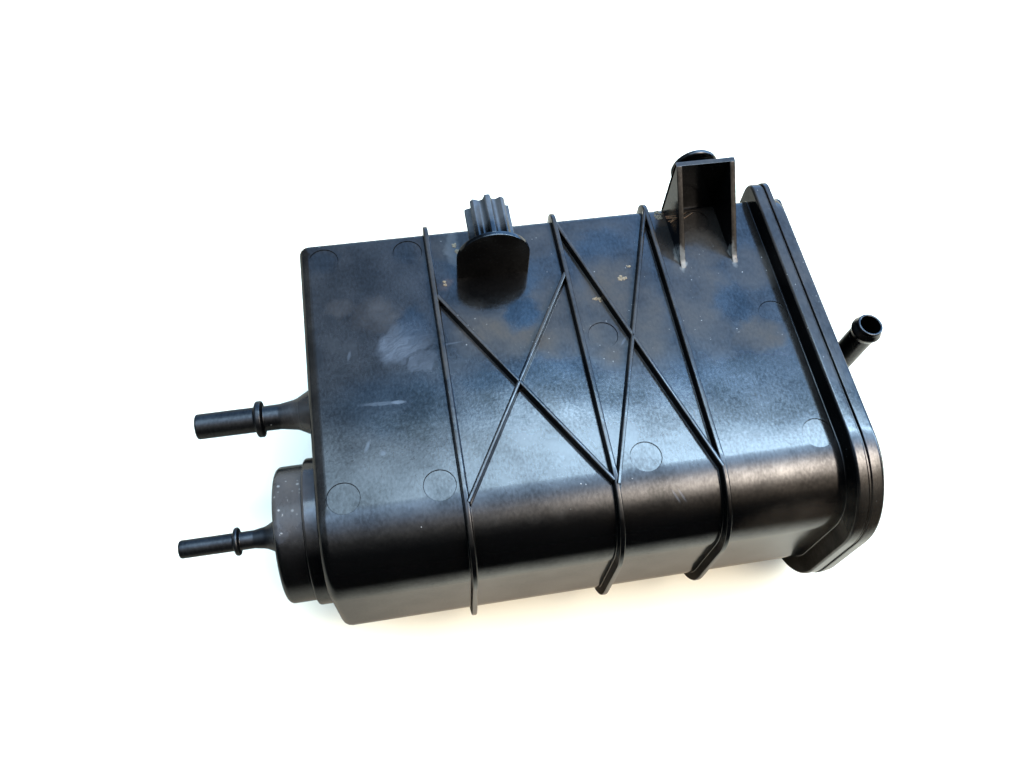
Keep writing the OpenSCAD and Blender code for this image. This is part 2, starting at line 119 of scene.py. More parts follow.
def lathe(bm, profile, centre, axis, side, steps):
    # profile points are (distance along the axis, radius), and the last joins the first
    along, out = Vector(axis), Vector(side)
    verts = [bm.verts.new(Vector(centre) + along * p[0] + out * p[1]) for p in profile]
    edges = [bm.edges.new((verts[i - 1], verts[i])) for i in range(len(verts))]
    bmesh.ops.spin(
        bm, geom=verts + edges, cent=centre, axis=axis, angle=2 * math.pi,
        steps=steps, use_merge=True, use_duplicate=False,
    )


def portLathe(bm, profile, y, steps=96):
    # a lathe that stands out of the port end
    lathe(bm, profile, (0, y, midZ), (-1, 0, 0), (0, 0, 1), steps)


def sweep(bm, ringAt, stations, count):
    # one ring of points is drawn, then extruded from station to station
    tag = bm.verts.layers.int.get("ring") or bm.verts.layers.int.new("ring")
    verts = []
    for i in range(count):
        vert = bm.verts.new(ringAt(stations[0])[i])
        vert[tag] = i
        verts.append(vert)
    edges = [bm.edges.new((verts[i - 1], verts[i])) for i in range(count)]
    firstEdges = edges
    for station in stations[1:]:
        grown = bmesh.ops.extrude_edge_only(bm, edges=edges)["geom"]
        edges = [g for g in grown if isinstance(g, bmesh.types.BMEdge) and g.is_boundary]
        points = ringAt(station)
        for vert in {v for e in edges for v in e.verts}:
            vert.co = points[vert[tag]]
    return firstEdges, edges


def slab(bm, outline, place, depth, edge=0.0, segments=2):
    # a flat outline given thickness along the place's own Z, with its rim edges rounded
    verts = [bm.verts.new(place @ Vector((p[0], p[1], 0))) for p in outline]
    face = bm.faces.new(verts)
    grown = bmesh.ops.extrude_face_region(bm, geom=[face])["geom"]
    top = [g for g in grown if isinstance(g, bmesh.types.BMFace)]
    push = place.to_3x3() @ Vector((0, 0, depth))
    bmesh.ops.translate(bm, vec=push, verts=[g for g in grown if isinstance(g, bmesh.types.BMVert)])
    rim = list({e for f in [face] + top for e in f.edges})
    if edge:
        bmesh.ops.bevel(
            bm, geom=rim, offset=edge, offset_type="OFFSET", affect="EDGES",
            segments=segments, profile=0.5, material=-1,
        )


def circle(bm, radius, place, segments=48):
    made = bmesh.ops.create_circle(bm, cap_ends=False, radius=radius, segments=segments, matrix=place)
    return list({e for v in made["verts"] for e in v.link_edges})


def rod(bm, middle, radius, long, segments):
    # a capped rod along X
    bmesh.ops.create_cone(
        bm, cap_ends=True, segments=segments, radius1=radius, radius2=radius, depth=long,
        matrix=Matrix.Translation(middle) @ alongX,
    )


def closeEnd(bm, loops, x, out, holes):
    # fills both skins of an end wall round its holes and joins each hole through the wall;
    # out is the way along X that the outer skin faces, and a hole is (y, radius)
    skins = ((x, list(loops[0]), out), (x - out * shell["wall"], list(loops[1]), -out))
    for y, radius in holes:
        pair = []
        for skinX, edges, facing in skins:
            made = circle(bm, radius, Matrix.Translation((skinX, y, midZ)) @ alongX)
            edges += made
            pair += made
        bmesh.ops.bridge_loops(bm, edges=pair)
    for skinX, edges, facing in skins:
        bmesh.ops.triangle_fill(bm, use_beauty=True, edges=edges, normal=(facing, 0, 0))


def yzPlane(x):
    # a plane across the canister: its own X runs along Y, its own Y runs up
    return Matrix(((0, 0, 1, x), (1, 0, 0, 0), (0, 1, 0, 0), (0, 0, 0, 1)))


def sectionRing(station):
    # the canister's section at a station:
    # x, growth, growth on the far side, far radius, extra round the near side
    x, grow, farGrow, farRadius, extra = station
    nearRadius = shell["nearRadius"] + grow
    low, high = -shell["thick"] - grow, grow
    nearY, farY = -grow + nearRadius, shell["width"] + farGrow - farRadius
    arcs = (
        (nearY, high - nearRadius, nearRadius, 90, shell["nearSteps"], extra),
        (nearY, low + nearRadius, nearRadius, 180, shell["nearSteps"], extra),
        (farY, low + farRadius, farRadius, 270, shell["farSteps"], 0),
        (farY, high - farRadius, farRadius, 0, shell["farSteps"], 0),
    )
    ring = []
    for y, z, radius, turn, steps, more in arcs:
        for step in range(steps + 1):
            angle = math.radians(turn + 90 * step / steps)
            long = radius + more * min(1, flange["flashSwell"] * abs(math.cos(angle)))
            ring.append(Vector((x, y + long * math.cos(angle), z + long * math.sin(angle))))
    return ring


ringCount = 2 * (shell["nearSteps"] + 1) + 2 * (shell["farSteps"] + 1)


def ribStation(point):
    farRadius = max(shell["farRadius"] + point[1], shell["leastRadius"])
    return point[0], point[1], point[1], farRadius, 0


def lippedStation(point, farOver, farRadius, extra):
    # a lip stands out less on the far side, and its far corners widen as it grows
    share = point[1] / flange["over"]
    widened = shell["farRadius"] + (farRadius - shell["farRadius"]) * share
    return point[0], point[1], farOver * share, widened, extra


def flangeStation(point):
    inGroove = flangeEnd - flange["within"] < point[0] < coverStart + flange["within"]
    flashed = inGroove and 0 < point[1] < flange["over"] - flange["flashBelow"]
    extra = flange["flash"] if flashed else 0
    return lippedStation(point, flange["farOver"], flange["farRadius"], extra)


def shoulderStation(point):
    return lippedStation(point, flange["shoulderFarOver"], flange["shoulderFarRadius"], 0)


finishing = {"merge": 0.0005, "sharp": 42}


def finishPiece(name, bm, materials, node):
    bmesh.ops.remove_doubles(bm, verts=bm.verts, dist=finishing["merge"])
    bmesh.ops.recalc_face_normals(bm, faces=bm.faces)
    bmesh.ops.transform(bm, matrix=toFrame, verts=bm.verts)
    mesh = bpy.data.meshes.new(name)
    bm.to_mesh(mesh)
    bm.free()
    mesh.shade_smooth()
    mesh.set_sharp_from_angle(angle=math.radians(finishing["sharp"]))
    for material in materials:
        mesh.materials.append(material)
    piece = bpy.data.objects.new(name, mesh)
    bpy.context.collection.objects.link(piece)
    weighted = piece.modifiers.new("weighted", "WEIGHTED_NORMAL")
    weighted.keep_sharp = True
    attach(piece, "root")
    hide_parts(node)
    print(name, len(mesh.polygons), "faces")
    return piece


# Material helpers: hex colours, one node at a time, and coordinates in the canister's own mm
def linear(hexColour):
    channels = [int(hexColour[i:i + 2], 16) / 255 for i in (1, 3, 5)]
    return [c / 12.92 if c <= 0.04045 else ((c + 0.055) / 1.055) ** 2.4 for c in channels] + [1.0]


def connect(tree, node, inputs):
    # an input is a value, a socket, or a node that gives its first output
    for socket, value in inputs.items():
        source = value.outputs[0] if isinstance(value, bpy.types.Node) else value
        if isinstance(source, bpy.types.NodeSocket):
            tree.links.new(source, node.inputs[socket])
        else:
            node.inputs[socket].default_value = source


def addNode(tree, kind, inputs, **settings):
    node = tree.nodes.new("ShaderNode" + kind)
    for name, value in settings.items():
        setattr(node, name, value)
    connect(tree, node, inputs)
    return node


def spans(ends=(0.0, 1.0), toEnds=(0.0, 1.0)):
    # the inputs of a range: the ends it reads between and the ends it gives
    return {"From Min": ends[0], "From Max": ends[1], "To Min": toEnds[0], "To Max": toEnds[1]}


def newMaterial(name):
    material = bpy.data.materials.new(name)
    material.use_nodes = True
    tree = material.node_tree
    shader = tree.nodes["Principled BSDF"]
    objectSpace = addNode(tree, "TexCoord", {}).outputs["Object"]
    inMm = addNode(tree, "Mapping", {
        "Vector": objectSpace, "Location": -start / mm, "Scale": (1 / mm, 1 / mm, 1 / mm),
    })
    return material, tree, shader, inMm


def patches(tree, at, places, soft=0.45):
    # the strongest of several soft-edged ellipsoids:
    # (x, y, z, reach along each, turn in degrees, strength)
    total = None
    for x, y, z, reachX, reachY, reachZ, turn, strength in places:
        local = addNode(tree, "Mapping", {
            "Vector": at, "Location": (x, y, z), "Rotation": (0, 0, math.radians(turn)),
            "Scale": (reachX, reachY, reachZ),
        }, vector_type="TEXTURE")
        far = addNode(tree, "VectorMath", {0: local}, operation="LENGTH").outputs["Value"]
        ends = spans((1 - soft, 1 + soft), (strength, 0.0))
        mask = addNode(tree, "MapRange", {"Value": far, **ends}, interpolation_type="SMOOTHSTEP")
        if total is None:
            total = mask
        else:
            total = addNode(tree, "Math", {0: total, 1: mask}, operation="MAXIMUM")
    return total


# Black glass-filled nylon, injection moulded: near-black and satin, its gloss broken by dust and scuffs
nylon = {
    "black": "#030303", "ior": 1.5,
    # sizes in mm, with mottling and grain drawn coarse enough to show
    "wander": 7.0, "wanderBy": 9.0, "cloud": 18.0, "wave": 45.0, "mottle": 1.1, "grain": 0.9,
    "wiped": (1.0, 0.55, 0.8), "clouds": (0.35, 0.68), "mottled": (0.3, 0.7),
    "filmLow": 0.45, "settles": (0.3, 0.85), "streaks": (0.86, 1.12),
    "strokeLong": 9.0, "strokes": (0.38, 0.62), "strokeLow": 0.55,
    # how soft the edges of these patches are
    "scuffSoft": 0.15, "fadeSoft": 0.9, "scratchSoft": 0.5,
    # each speck's size runs from the second value up to both together
    "gritSpread": (0.6, 0.4), "gritCore": 0.6, "gritFilm": (0.3, 0.8),
    "gritColour": "#d2cdc2", "gritCover": 0.32, "scuffColour": "#b4bcc8", "scuffCover": 0.085,
    # faces that look along X reflect less, a painted shade on their sides, and low down they are matt
    "sideways": (0.75, 0.95), "shadedSideShine": 0.15, "low": (-28.0, -12.0), "lowRough": 0.55,
    "shine": (0.3, 0.68), "pitted": (0.4, 1.0), "pitCloud": 0.45, "veiledShine": 0.12,
    # strength and depth in mm of each bump
    "waveBump": (0.15, 1.5), "mottleBump": (0.25, 0.03), "gritBump": (0.3, 0.03), "gritLift": 4.0,
}


def mouldedNylon(name, dirt):
    material, tree, shader, at = newMaterial(name)
    wander = addNode(tree, "TexNoise", {"Vector": at, "Scale": 1 / nylon["wander"], "Detail": 3.0})
    wander = addNode(tree, "VectorMath", {
        0: wander.outputs["Color"], 1: (0.5, 0.5, 0.5),
    }, operation="SUBTRACT")
    bent = addNode(tree, "VectorMath", {
        0: wander, 1: [nylon["wanderBy"]] * 3, 2: at,
    }, operation="MULTIPLY_ADD")
    # the fine mottling is drawn out along Y, as wiping leaves it
    wiped = addNode(tree, "Mapping", {"Vector": at, "Scale": nylon["wiped"]})
    noise = {}
    for word, place, detail in (
        ("cloud", at, 4.0), ("mottle", wiped, 4.0), ("wave", at, 2.0), ("grain", at, 2.0),
    ):
        noise[word] = addNode(tree, "TexNoise", {
            "Vector": place, "Scale": 1 / nylon[word], "Detail": detail,
        })
    mottle = noise["mottle"]
    cloud = addNode(tree, "MapRange", {"Value": noise["cloud"], **spans(nylon["clouds"])})
    facing = addNode(tree, "NewGeometry", {}).outputs["Normal"]
    facing = addNode(tree, "SeparateXYZ", {"Vector": facing}).outputs
    # dust film: thin everywhere, thick in its own patches, wiped off in others, settled on what faces up
    film = addNode(tree, "Math", {
        0: patches(tree, bent, dirt["film"]), 1: dirt["filmAll"],
    }, operation="MAXIMUM")
    clean = patches(tree, bent, dirt["clean"])
    kept = addNode(tree, "MapRange", {"Value": clean, **spans(toEnds=(1.0, 0.0))})
    uneven = addNode(tree, "MapRange", {"Value": cloud, **spans(toEnds=(nylon["filmLow"], 1.0))})
    settled = addNode(tree, "MapRange", {"Value": facing["Z"], **spans(nylon["settles"])})
    streaky = addNode(tree, "MapRange", {"Value": mottle, **spans(nylon["mottled"], nylon["streaks"])})
    for share in (kept, uneven, settled, streaky):
        film = addNode(tree, "Math", {0: film, 1: share}, operation="MULTIPLY")
    # grit: pale specks, one to a cell, more of them where the film is thick
    cells = addNode(tree, "TexVoronoi", {"Vector": at, "Scale": 1 / dirt["gritStep"]})
    chance = addNode(tree, "SeparateColor", {"Color": cells.outputs["Color"]}).outputs
    grains = addNode(tree, "Math", {
        0: chance["Blue"], 1: nylon["gritSpread"][0], 2: nylon["gritSpread"][1],
    }, operation="MULTIPLY_ADD")
    grains = addNode(tree, "Math", {0: cells, 1: grains}, operation="DIVIDE")
    core, edge = dirt["gritSize"] * nylon["gritCore"] / dirt["gritStep"], dirt["gritSize"] / dirt["gritStep"]
    grit = addNode(tree, "MapRange", {"Value": grains, **spans((core, edge), (1.0, 0.0))})
    ends = spans(nylon["gritFilm"], (dirt["gritRare"], dirt["gritThick"]))
    chosen = addNode(tree, "MapRange", {"Value": film, **ends})
    chosen = addNode(tree, "Math", {0: chance["Red"], 1: chosen}, operation="LESS_THAN")
    for share in (chosen, chance["Green"]):
        grit = addNode(tree, "Math", {0: grit, 1: share}, operation="MULTIPLY")
    # scuffs: uneven strokes inside their own patches, and single scratches
    strokes = addNode(tree, "Mapping", {
        "Vector": bent, "Rotation": (0, 0, dirt["strokeTurn"]),
        "Scale": (nylon["strokeLong"], dirt["strokeStep"], nylon["strokeLong"]),
    }, vector_type="TEXTURE")
    strokes = addNode(tree, "TexNoise", {"Vector": strokes, "Scale": 1.0, "Detail": 3.0})
    ends = spans(nylon["strokes"], (nylon["strokeLow"], 1.0))
    strokes = addNode(tree, "MapRange", {"Value": strokes, **ends})
    scuff = patches(tree, bent, dirt["scuffs"], nylon["scuffSoft"])
    for share in (strokes, patches(tree, at, dirt["scuffFade"], nylon["fadeSoft"])):
        scuff = addNode(tree, "Math", {0: scuff, 1: share}, operation="MULTIPLY")
    scratches = patches(tree, at, dirt["scratches"], nylon["scratchSoft"])
    scuff = addNode(tree, "Math", {0: scuff, 1: scratches}, operation="MAXIMUM")
    # colour: each kind of dirt laid over the black in turn
    layers = [(film, dirt["filmColour"], dirt["filmCover"])]
    for places, tint, cover in dirt["stains"]:
        stain = addNode(tree, "Math", {0: patches(tree, bent, places), 1: uneven}, operation="MULTIPLY")
        layers.append((stain, tint, cover))
    layers.append((scuff, nylon["scuffColour"], nylon["scuffCover"]))
    layers.append((grit, nylon["gritColour"], nylon["gritCover"]))
    colour, matt = linear(nylon["black"]), film
    for mask, tint, cover in layers:
        amount = addNode(tree, "Math", {0: mask, 1: cover}, operation="MULTIPLY")
        colour = addNode(tree, "Mix", {
            0: amount, 6: colour, 7: linear(tint),
        }, data_type="RGBA").outputs[2]
        matt = addNode(tree, "Math", {0: matt, 1: mask}, operation="MAXIMUM")
    # roughness: up with the dirt and the mottling, and matt in dull patches and on low sideways faces
    aside = addNode(tree, "Math", {0: facing["X"]}, operation="ABSOLUTE")
    rough = addNode(tree, "MapRange", {"Value": matt, **spans(toEnds=(dirt["gloss"], dirt["matt"]))})
    rough = addNode(tree, "Math", {0: mottle, 1: dirt["mottle"], 2: rough}, operation="MULTIPLY_ADD")
    height = addNode(tree, "SeparateXYZ", {"Vector": at}).outputs["Z"]
    low = addNode(tree, "MapRange", {"Value": height, **spans(nylon["low"], (nylon["lowRough"], 0.0))})
    sides = addNode(tree, "MapRange", {"Value": aside, **spans(nylon["sideways"])})
    sides = addNode(tree, "Math", {0: sides, 1: low}, operation="MULTIPLY")
    for least in (patches(tree, at, dirt["dull"]), sides):
        rough = addNode(tree, "Math", {0: rough, 1: least}, operation="MAXIMUM")
    # bumps, each on top of the last: sink waves, wiped mottling, grain with grit
    lumps = addNode(tree, "Math", {
        0: grit, 1: nylon["gritLift"], 2: noise["grain"],
    }, operation="MULTIPLY_ADD")
    under = {}
    for height, (strength, deep) in (
        (noise["wave"], nylon["waveBump"]), (mottle, nylon["mottleBump"]), (lumps, nylon["gritBump"]),
    ):
        bump = addNode(tree, "Bump", {
            "Height": height, "Strength": strength, "Distance": deep * mm, **under,
        })
        under = {"Normal": bump}
    # the reflection itself is cloudy, pitted where the mottling is dark, veiled by the film, and cut on
    # sideways faces as painted shade
    pits = addNode(tree, "Math", {0: cloud, 1: nylon["pitCloud"], 2: mottle}, operation="MULTIPLY_ADD")
    shine = addNode(tree, "MapRange", {"Value": pits, **spans(nylon["pitted"], nylon["shine"])})
    veiled = addNode(tree, "MapRange", {"Value": film, **spans(toEnds=(1.0, nylon["veiledShine"]))})
    # painted shade: faces that look along X reflect less, so the sides of ribs and braces go dark
    ends = spans(nylon["sideways"], (1.0, nylon["shadedSideShine"]))
    sideShade = addNode(tree, "MapRange", {"Value": aside, **ends})
    for share in (veiled, sideShade):
        shine = addNode(tree, "Math", {0: shine, 1: share}, operation="MULTIPLY")
    connect(tree, shader, {
        "Base Color": colour, "Roughness": rough, "Specular IOR Level": shine, "IOR": nylon["ior"],
        "Normal": bump,
    })
    return material


# Camera at the photograph's place
camera = {
    "eye": (41.669, -94.881, 316.173), "aim": (84.794, 72.9, 0.0), "roll": 5.5315,
    "lens": 30.107, "sensor": 36.0,
}
eye = toFrame @ Vector(camera["eye"])
aim = toFrame @ Vector(camera["aim"])
lensData = bpy.data.cameras.new("photoCamera")
lensData.lens = camera["lens"]
lensData.sensor_width = camera["sensor"]
photoCamera = bpy.data.objects.new("photoCamera", lensData)
bpy.context.collection.objects.link(photoCamera)
looking = (aim - eye).to_track_quat("-Z", "Y").to_matrix().to_4x4()
rolled = Matrix.Rotation(math.radians(camera["roll"]), 4, "Z")
photoCamera.matrix_world = Matrix.Translation(eye) @ looking @ rolled
bpy.context.scene.camera = photoCamera
print("camera set")

# Body: shell with hoop ribs and weld flange, swept along X
marks = {
    "radius": 6.65, "deep": 0.4, "slope": 0.25, "cell": 7.4, "apart": 1.0, "level": 0.9, "lowest": -1.0,
    "places": (
        (11.4, 32.2), (49.1, 32.2), (133.2, 32.2), (207.2, 32.2),
        (10.9, 147.0), (48.8, 147.0), (185.7, 147.0),
        (128.3, 91.3), (206.9, 92.1),
    ),
}


def shellProfile():
    corners = [(0, -shell["endRadius"] - shell["endIn"]), (0, 0, shell["endRadius"])]
    for x in ribs["places"]:
        corners += [
            (x - ribs["foot"], 0, ribs["footRadius"]), (x - ribs["top"], ribs["high"], ribs["topRadius"]),
            (x + ribs["top"], ribs["high"], ribs["topRadius"]), (x + ribs["foot"], 0, ribs["footRadius"]),
        ]
    grooveTop = flange["over"] - flange["grooveDeep"]
    corners += [
        (shell["length"], 0, flange["footRadius"]),
        (shell["length"], flange["over"], flange["frontRadius"]),
        (flangeEnd, flange["over"], flange["backRadius"]), (flangeEnd, grooveTop), (coverStart, grooveTop),
    ]
    points = rounded(corners)
    for x, y in marks["places"]:
        # extra stations keep the cut of a mark on the near edge local
        for edge in (x - marks["cell"], x + marks["cell"]):
            alone = min(abs(edge - p[0]) for p in points) > marks["apart"]
            if y < shell["nearRadius"] + marks["radius"] and alone:
                points.append(Vector((edge, 0)))
    stations = []
    for point in sorted(points, key=lambda p: p[0]):
        onFlange = point[0] > shell["length"] - flange["footAhead"]
        stations.append(flangeStation(point) if onFlange else ribStation(point))
    stations.append(ribStation((coverStart, -shell["wall"])))
    stations.append(ribStation((shell["wall"], -shell["wall"])))
    return stations


def skinZ(y):
    # height of the broad face's skin, which falls away over the near edge
    past = max(shell["nearRadius"] - y, 0)
    return math.sqrt(shell["nearRadius"] ** 2 - past ** 2) - shell["nearRadius"]


def recessMarks(bm):
    # each mark is a shallow round recess left by a moulding pin; marks that share a panel are cut together
    reach = marks["radius"]
    groups = []
    for x, y in marks["places"]:
        hit = set()
        for face in bm.faces:
            if abs(face.normal.z) < marks["level"] or face.calc_center_median().z < marks["lowest"]:
                continue
            xs, ys = [v.co.x for v in face.verts], [v.co.y for v in face.verts]
            if min(xs) < x + reach and max(xs) > x - reach and min(ys) < y + reach and max(ys) > y - reach:
                hit.add(face)
        joined = [g for g in groups if g[0] & hit]
        groups = [g for g in groups if not g[0] & hit]
        groups.append((hit.union(*(g[0] for g in joined)), [(x, y)] + [m for g in joined for m in g[1]]))
    for faces, places in groups:
        edges = {e for f in faces for e in f.edges}
        rim = [e for e in edges if sum(f in faces for f in e.link_faces) == 1]
        bmesh.ops.delete(bm, geom=list(faces), context="FACES_ONLY")
        bmesh.ops.delete(bm, geom=[e for e in edges if not e.link_faces], context="EDGES")
        for x, y in places:
            outer = circle(bm, reach, Matrix.Translation((x, y, 0)))
            for vert in {v for e in outer for v in e.verts}:
                vert.co.z = skinZ(vert.co.y)
            rim += outer
            grown = bmesh.ops.extrude_edge_only(bm, edges=outer)["geom"]
            verts = [g for g in grown if isinstance(g, bmesh.types.BMVert)]
            narrow = 1 - marks["slope"] / reach
            bmesh.ops.scale(bm, vec=(narrow, narrow, 1), verts=verts, space=Matrix.Translation((-x, -y, 0)))
            bmesh.ops.translate(bm, vec=(0, 0, -marks["deep"]), verts=verts)
            walls = [g for g in grown if isinstance(g, bmesh.types.BMEdge)]
            bmesh.ops.edgeloop_fill(bm, edges=[e for e in walls if all(v in verts for v in e.verts)])
        bmesh.ops.triangle_fill(bm, use_beauty=True, edges=rim, normal=(0, 0, 1))


collar = {
    "y": 38.0, "radius": 31.75, "long": 7.2, "bore": 23.9, "seat": 26.9, "seatDeep": 3.9, "edge": 1.1,
    "holeGap": 0.4,
}


def bodyShell(bm):
    loops = sweep(bm, sectionRing, shellProfile(), ringCount)
    bm.normal_update()
    recessMarks(bm)
    holes = [(port["y"], port["bore"] + port["holeGap"]) for port in (tankSpigot, collar)]
    closeEnd(bm, loops, 0, -1, holes)


def portCollar(bm):
    seatX = collar["long"] - collar["seatDeep"]
    portLathe(bm, rounded([
        (-rooted, collar["bore"]), (-rooted, collar["radius"]),
        (collar["long"], collar["radius"], collar["edge"]), (collar["long"], collar["seat"]),
        (seatX, collar["seat"]), (seatX, collar["bore"]),
    ]), collar["y"])


# Both spigots: shares of the root's length and flare and of the bead's width, then edge radii in mm
spigotShape = {
    "neckAt": 0.62, "neckFlare": 0.18, "neckRound": 0.5, "tubeAt": 1.05, "tubeRound": 0.3,
    "beadFoot": 0.5, "beadFront": 0.36, "beadBack": 0.26,
    "footRadius": 0.5, "frontRadius": 0.8, "backRadius": 1.1, "tipRadius": 1.0, "mouthRadius": 0.5,
    "liner": 0.8, "steps": 5,
}


def spigotProfile(spigot, base, innerEnd):
    # flared root, tube, bead and tip, then back through the bore
    shape = spigotShape
    tube, bead, bore = spigot["tube"], spigot["bead"], spigot["bore"]
    root, rootLong, wide = spigot["root"], spigot["rootLong"], spigot["beadWide"]
    mid, tip = base + spigot["beadAt"], base + spigot["reach"]
    neck = tube + shape["neckFlare"] * (root - tube)
    return rounded([
        (base - sunk, bore + shape["liner"]), (base - sunk, root), (base, root),
        (base + shape["neckAt"] * rootLong, neck, rootLong * shape["neckRound"]),
        (base + rootLong * shape["tubeAt"], tube, rootLong * shape["tubeRound"]),
        (mid - wide * shape["beadFoot"], tube, shape["footRadius"]),
        (mid - wide * shape["beadFront"], bead, shape["frontRadius"]),
        (mid + wide * shape["beadBack"], bead, shape["backRadius"]),
        (mid + wide * shape["beadFoot"], tube, shape["footRadius"]),
        (tip, tube, shape["tipRadius"]), (tip, bore, shape["mouthRadius"]),
        (innerEnd, bore), (innerEnd, bore + shape["liner"]),
    ], shape["steps"])


braces = {
    "thick": 2.0, "foot": 1.3, "footRadius": 0.25, "footDraft": 0.1, "topDraft": 0.15, "topRadius": 0.6,
    "below": 0.1, "level": 0.02, "sunk": 1.6, "short": 1.6, "steps": 3,
    # for each field between two ribs: both braces' ends on its left rib and on its right rib
    "ends": (((120.7, 21.6), (21.0, 125.3)), ((154.0, 20.9), (19.6, 156.0))),
}


def diagonalBraces(bm):
    half, flare, level = braces["thick"] / 2, braces["foot"], braces["level"]
    base, top = half + braces["footDraft"], half - braces["topDraft"]
    high = ribs["high"] - braces["below"]
    outline = rounded([
        (-flare, -braces["sunk"]), (-flare, level), (-base, level, braces["footRadius"]),
        (-top, high, braces["topRadius"]), (top, high, braces["topRadius"]),
        (base, level, braces["footRadius"]), (flare, level), (flare, -braces["sunk"]),
    ], braces["steps"])
    for fieldIndex, pair in enumerate(braces["ends"]):
        left, right = ribs["places"][fieldIndex], ribs["places"][fieldIndex + 1]
        for fromY, toY in pair:
            begin, end = Vector((left, fromY, 0)), Vector((right, toY, 0))
            along = (end - begin).normalized()
            begin, end = begin + along * braces["short"], end - along * braces["short"]
            across = along.cross(Vector((0, 0, 1)))
            place = Matrix.Translation(begin) @ Matrix((across, (0, 0, 1), along)).transposed().to_4x4()
            slab(bm, outline, place, (end - begin).length)


peg = {
    "x": 85.6, "z": 18.7, "plateY": 129.5, "plateWide": 32.6, "plateHigh": 28.6, "plateThick": 2.2,
    "plateSteps": 32, "plateEdge": 0.5, "tip": 10.0, "tipRadius": 0.7, "valley": 6.21, "valleyRadius": 1.6,
    "fin": 1.15, "fins": 8, "long": 20.4, "finEdge": 0.35, "web": 3.0, "webLong": 16.0, "webEdge": 0.3,
}


def starPeg(bm):
    backY = peg["plateY"] + peg["plateThick"]
    halfTurn, spread = math.radians(180 / peg["fins"]), math.asin(peg["fin"] / peg["tip"])
    corners = []
    for i in range(peg["fins"]):
        turn = math.radians(90 + i * 360 / peg["fins"])
        for angle, radius, fillet in (
            (turn - spread, peg["tip"], peg["tipRadius"]), (turn + spread, peg["tip"], peg["tipRadius"]),
            (turn + halfTurn, peg["valley"], peg["valleyRadius"]),
        ):
            corners.append((radius * math.cos(angle), radius * math.sin(angle), fillet))
    place = Matrix.Translation((peg["x"], backY - sunk, peg["z"])) @ toBack
    slab(bm, rounded(corners, closed=True), place, peg["long"] + sunk, peg["finEdge"])
    half = peg["plateWide"] / 2
    shoulder = peg["plateHigh"] - half
    plate = [(half, -rooted)]
    for step in range(peg["plateSteps"] + 1):
        angle = math.pi * step / peg["plateSteps"]
        plate.append((half * math.cos(angle), shoulder + half * math.sin(angle)))
    plate.append((-half, -rooted))
    place = Matrix.Translation((peg["x"], peg["plateY"], 0)) @ toBack
    slab(bm, plate, place, peg["plateThick"], peg["plateEdge"])
    half = peg["web"] / 2
    web = [(-half, -rooted), (-half, peg["z"]), (half, peg["z"]), (half, -rooted)]
    place = Matrix.Translation((peg["x"], backY - sunk, 0)) @ toBack
    slab(bm, web, place, peg["webLong"] + sunk, peg["webEdge"])


def gussetBracket(bm):
    half, thick, high = bracket["wide"] / 2, bracket["thick"], bracket["high"]
    farY = shell["width"]
    wallY = farY - thick
    wall = [(half, -bracket["wallDeep"]), (half, high), (-half, high), (-half, -bracket["wallDeep"])]
    slab(bm, wall, Matrix.Translation((bracket["x"], wallY, 0)) @ toBack, thick, bracket["wallEdge"])
    toe, top, back = farY - bracket["gusset"], high - bracket["gussetLow"], farY - bracket["gussetIn"]
    toeLong, toeHigh, toeRadius = bracket["toe"]
    cheek = rounded([
        (toe, -rooted), (toe, 0), (toe + toeLong, toeHigh, toeRadius),
        (wallY, top, bracket["gussetRadius"]), (back, top), (back, -rooted),
    ])
    for side in (-half, half - thick):
        slab(bm, cheek, yzPlane(bracket["x"] + side), thick, bracket["gussetEdge"])
    shank, head, reach = bracket["shank"], bracket["head"], bracket["shankLong"]
    end = reach + bracket["headThick"]
    profile = rounded([
        (-bracket["shankIn"], 0), (-bracket["shankIn"], shank), (0, shank, bracket["shankFoot"]),
        (reach, shank, bracket["neckRadius"]), (reach, head, bracket["headBack"]),
        (end, head, bracket["headFront"]), (end, 0),
    ])
    lathe(bm, profile, (bracket["x"], farY, bracket["headZ"]), (0, 1, 0), (1, 0, 0), bracket["headSteps"])


inside = {
    "divider": 71.0, "dividerThick": 2.2, "dividerEnd": 36.1,
    "postRadius": 3.0, "postSteps": 24, "gridAt": 14.1,
}


def innerWalls(bm):
    # divider and the posts that carry the two grids
    wall = shell["wall"]
    reach = inside["dividerEnd"] - wall + sunk
    place = Matrix.Translation(((wall - sunk + inside["dividerEnd"]) / 2, inside["divider"], midZ))
    size = Matrix.Diagonal((reach, inside["dividerThick"], shell["thick"] - 2 * wall + 2 * sunk, 1))
    bmesh.ops.create_cube(bm, size=1, matrix=place @ size)
    postZ = shell["thick"] / 2 - wall - shell["nearRadius"] / 2
    purgeStep = collar["y"] - wall - shell["nearRadius"] / 2
    tankMid, tankStep = (shell["width"] + inside["divider"]) / 2, (shell["width"] - inside["divider"]) / 4
    long = inside["gridAt"] - wall + sunk
    for y in (collar["y"] - purgeStep, collar["y"] + purgeStep, tankMid - tankStep, tankMid + tankStep):
        for z in (midZ - postZ, midZ + postZ):
            rod(bm, (inside["gridAt"] - long / 2, y, z), inside["postRadius"], long, inside["postSteps"])


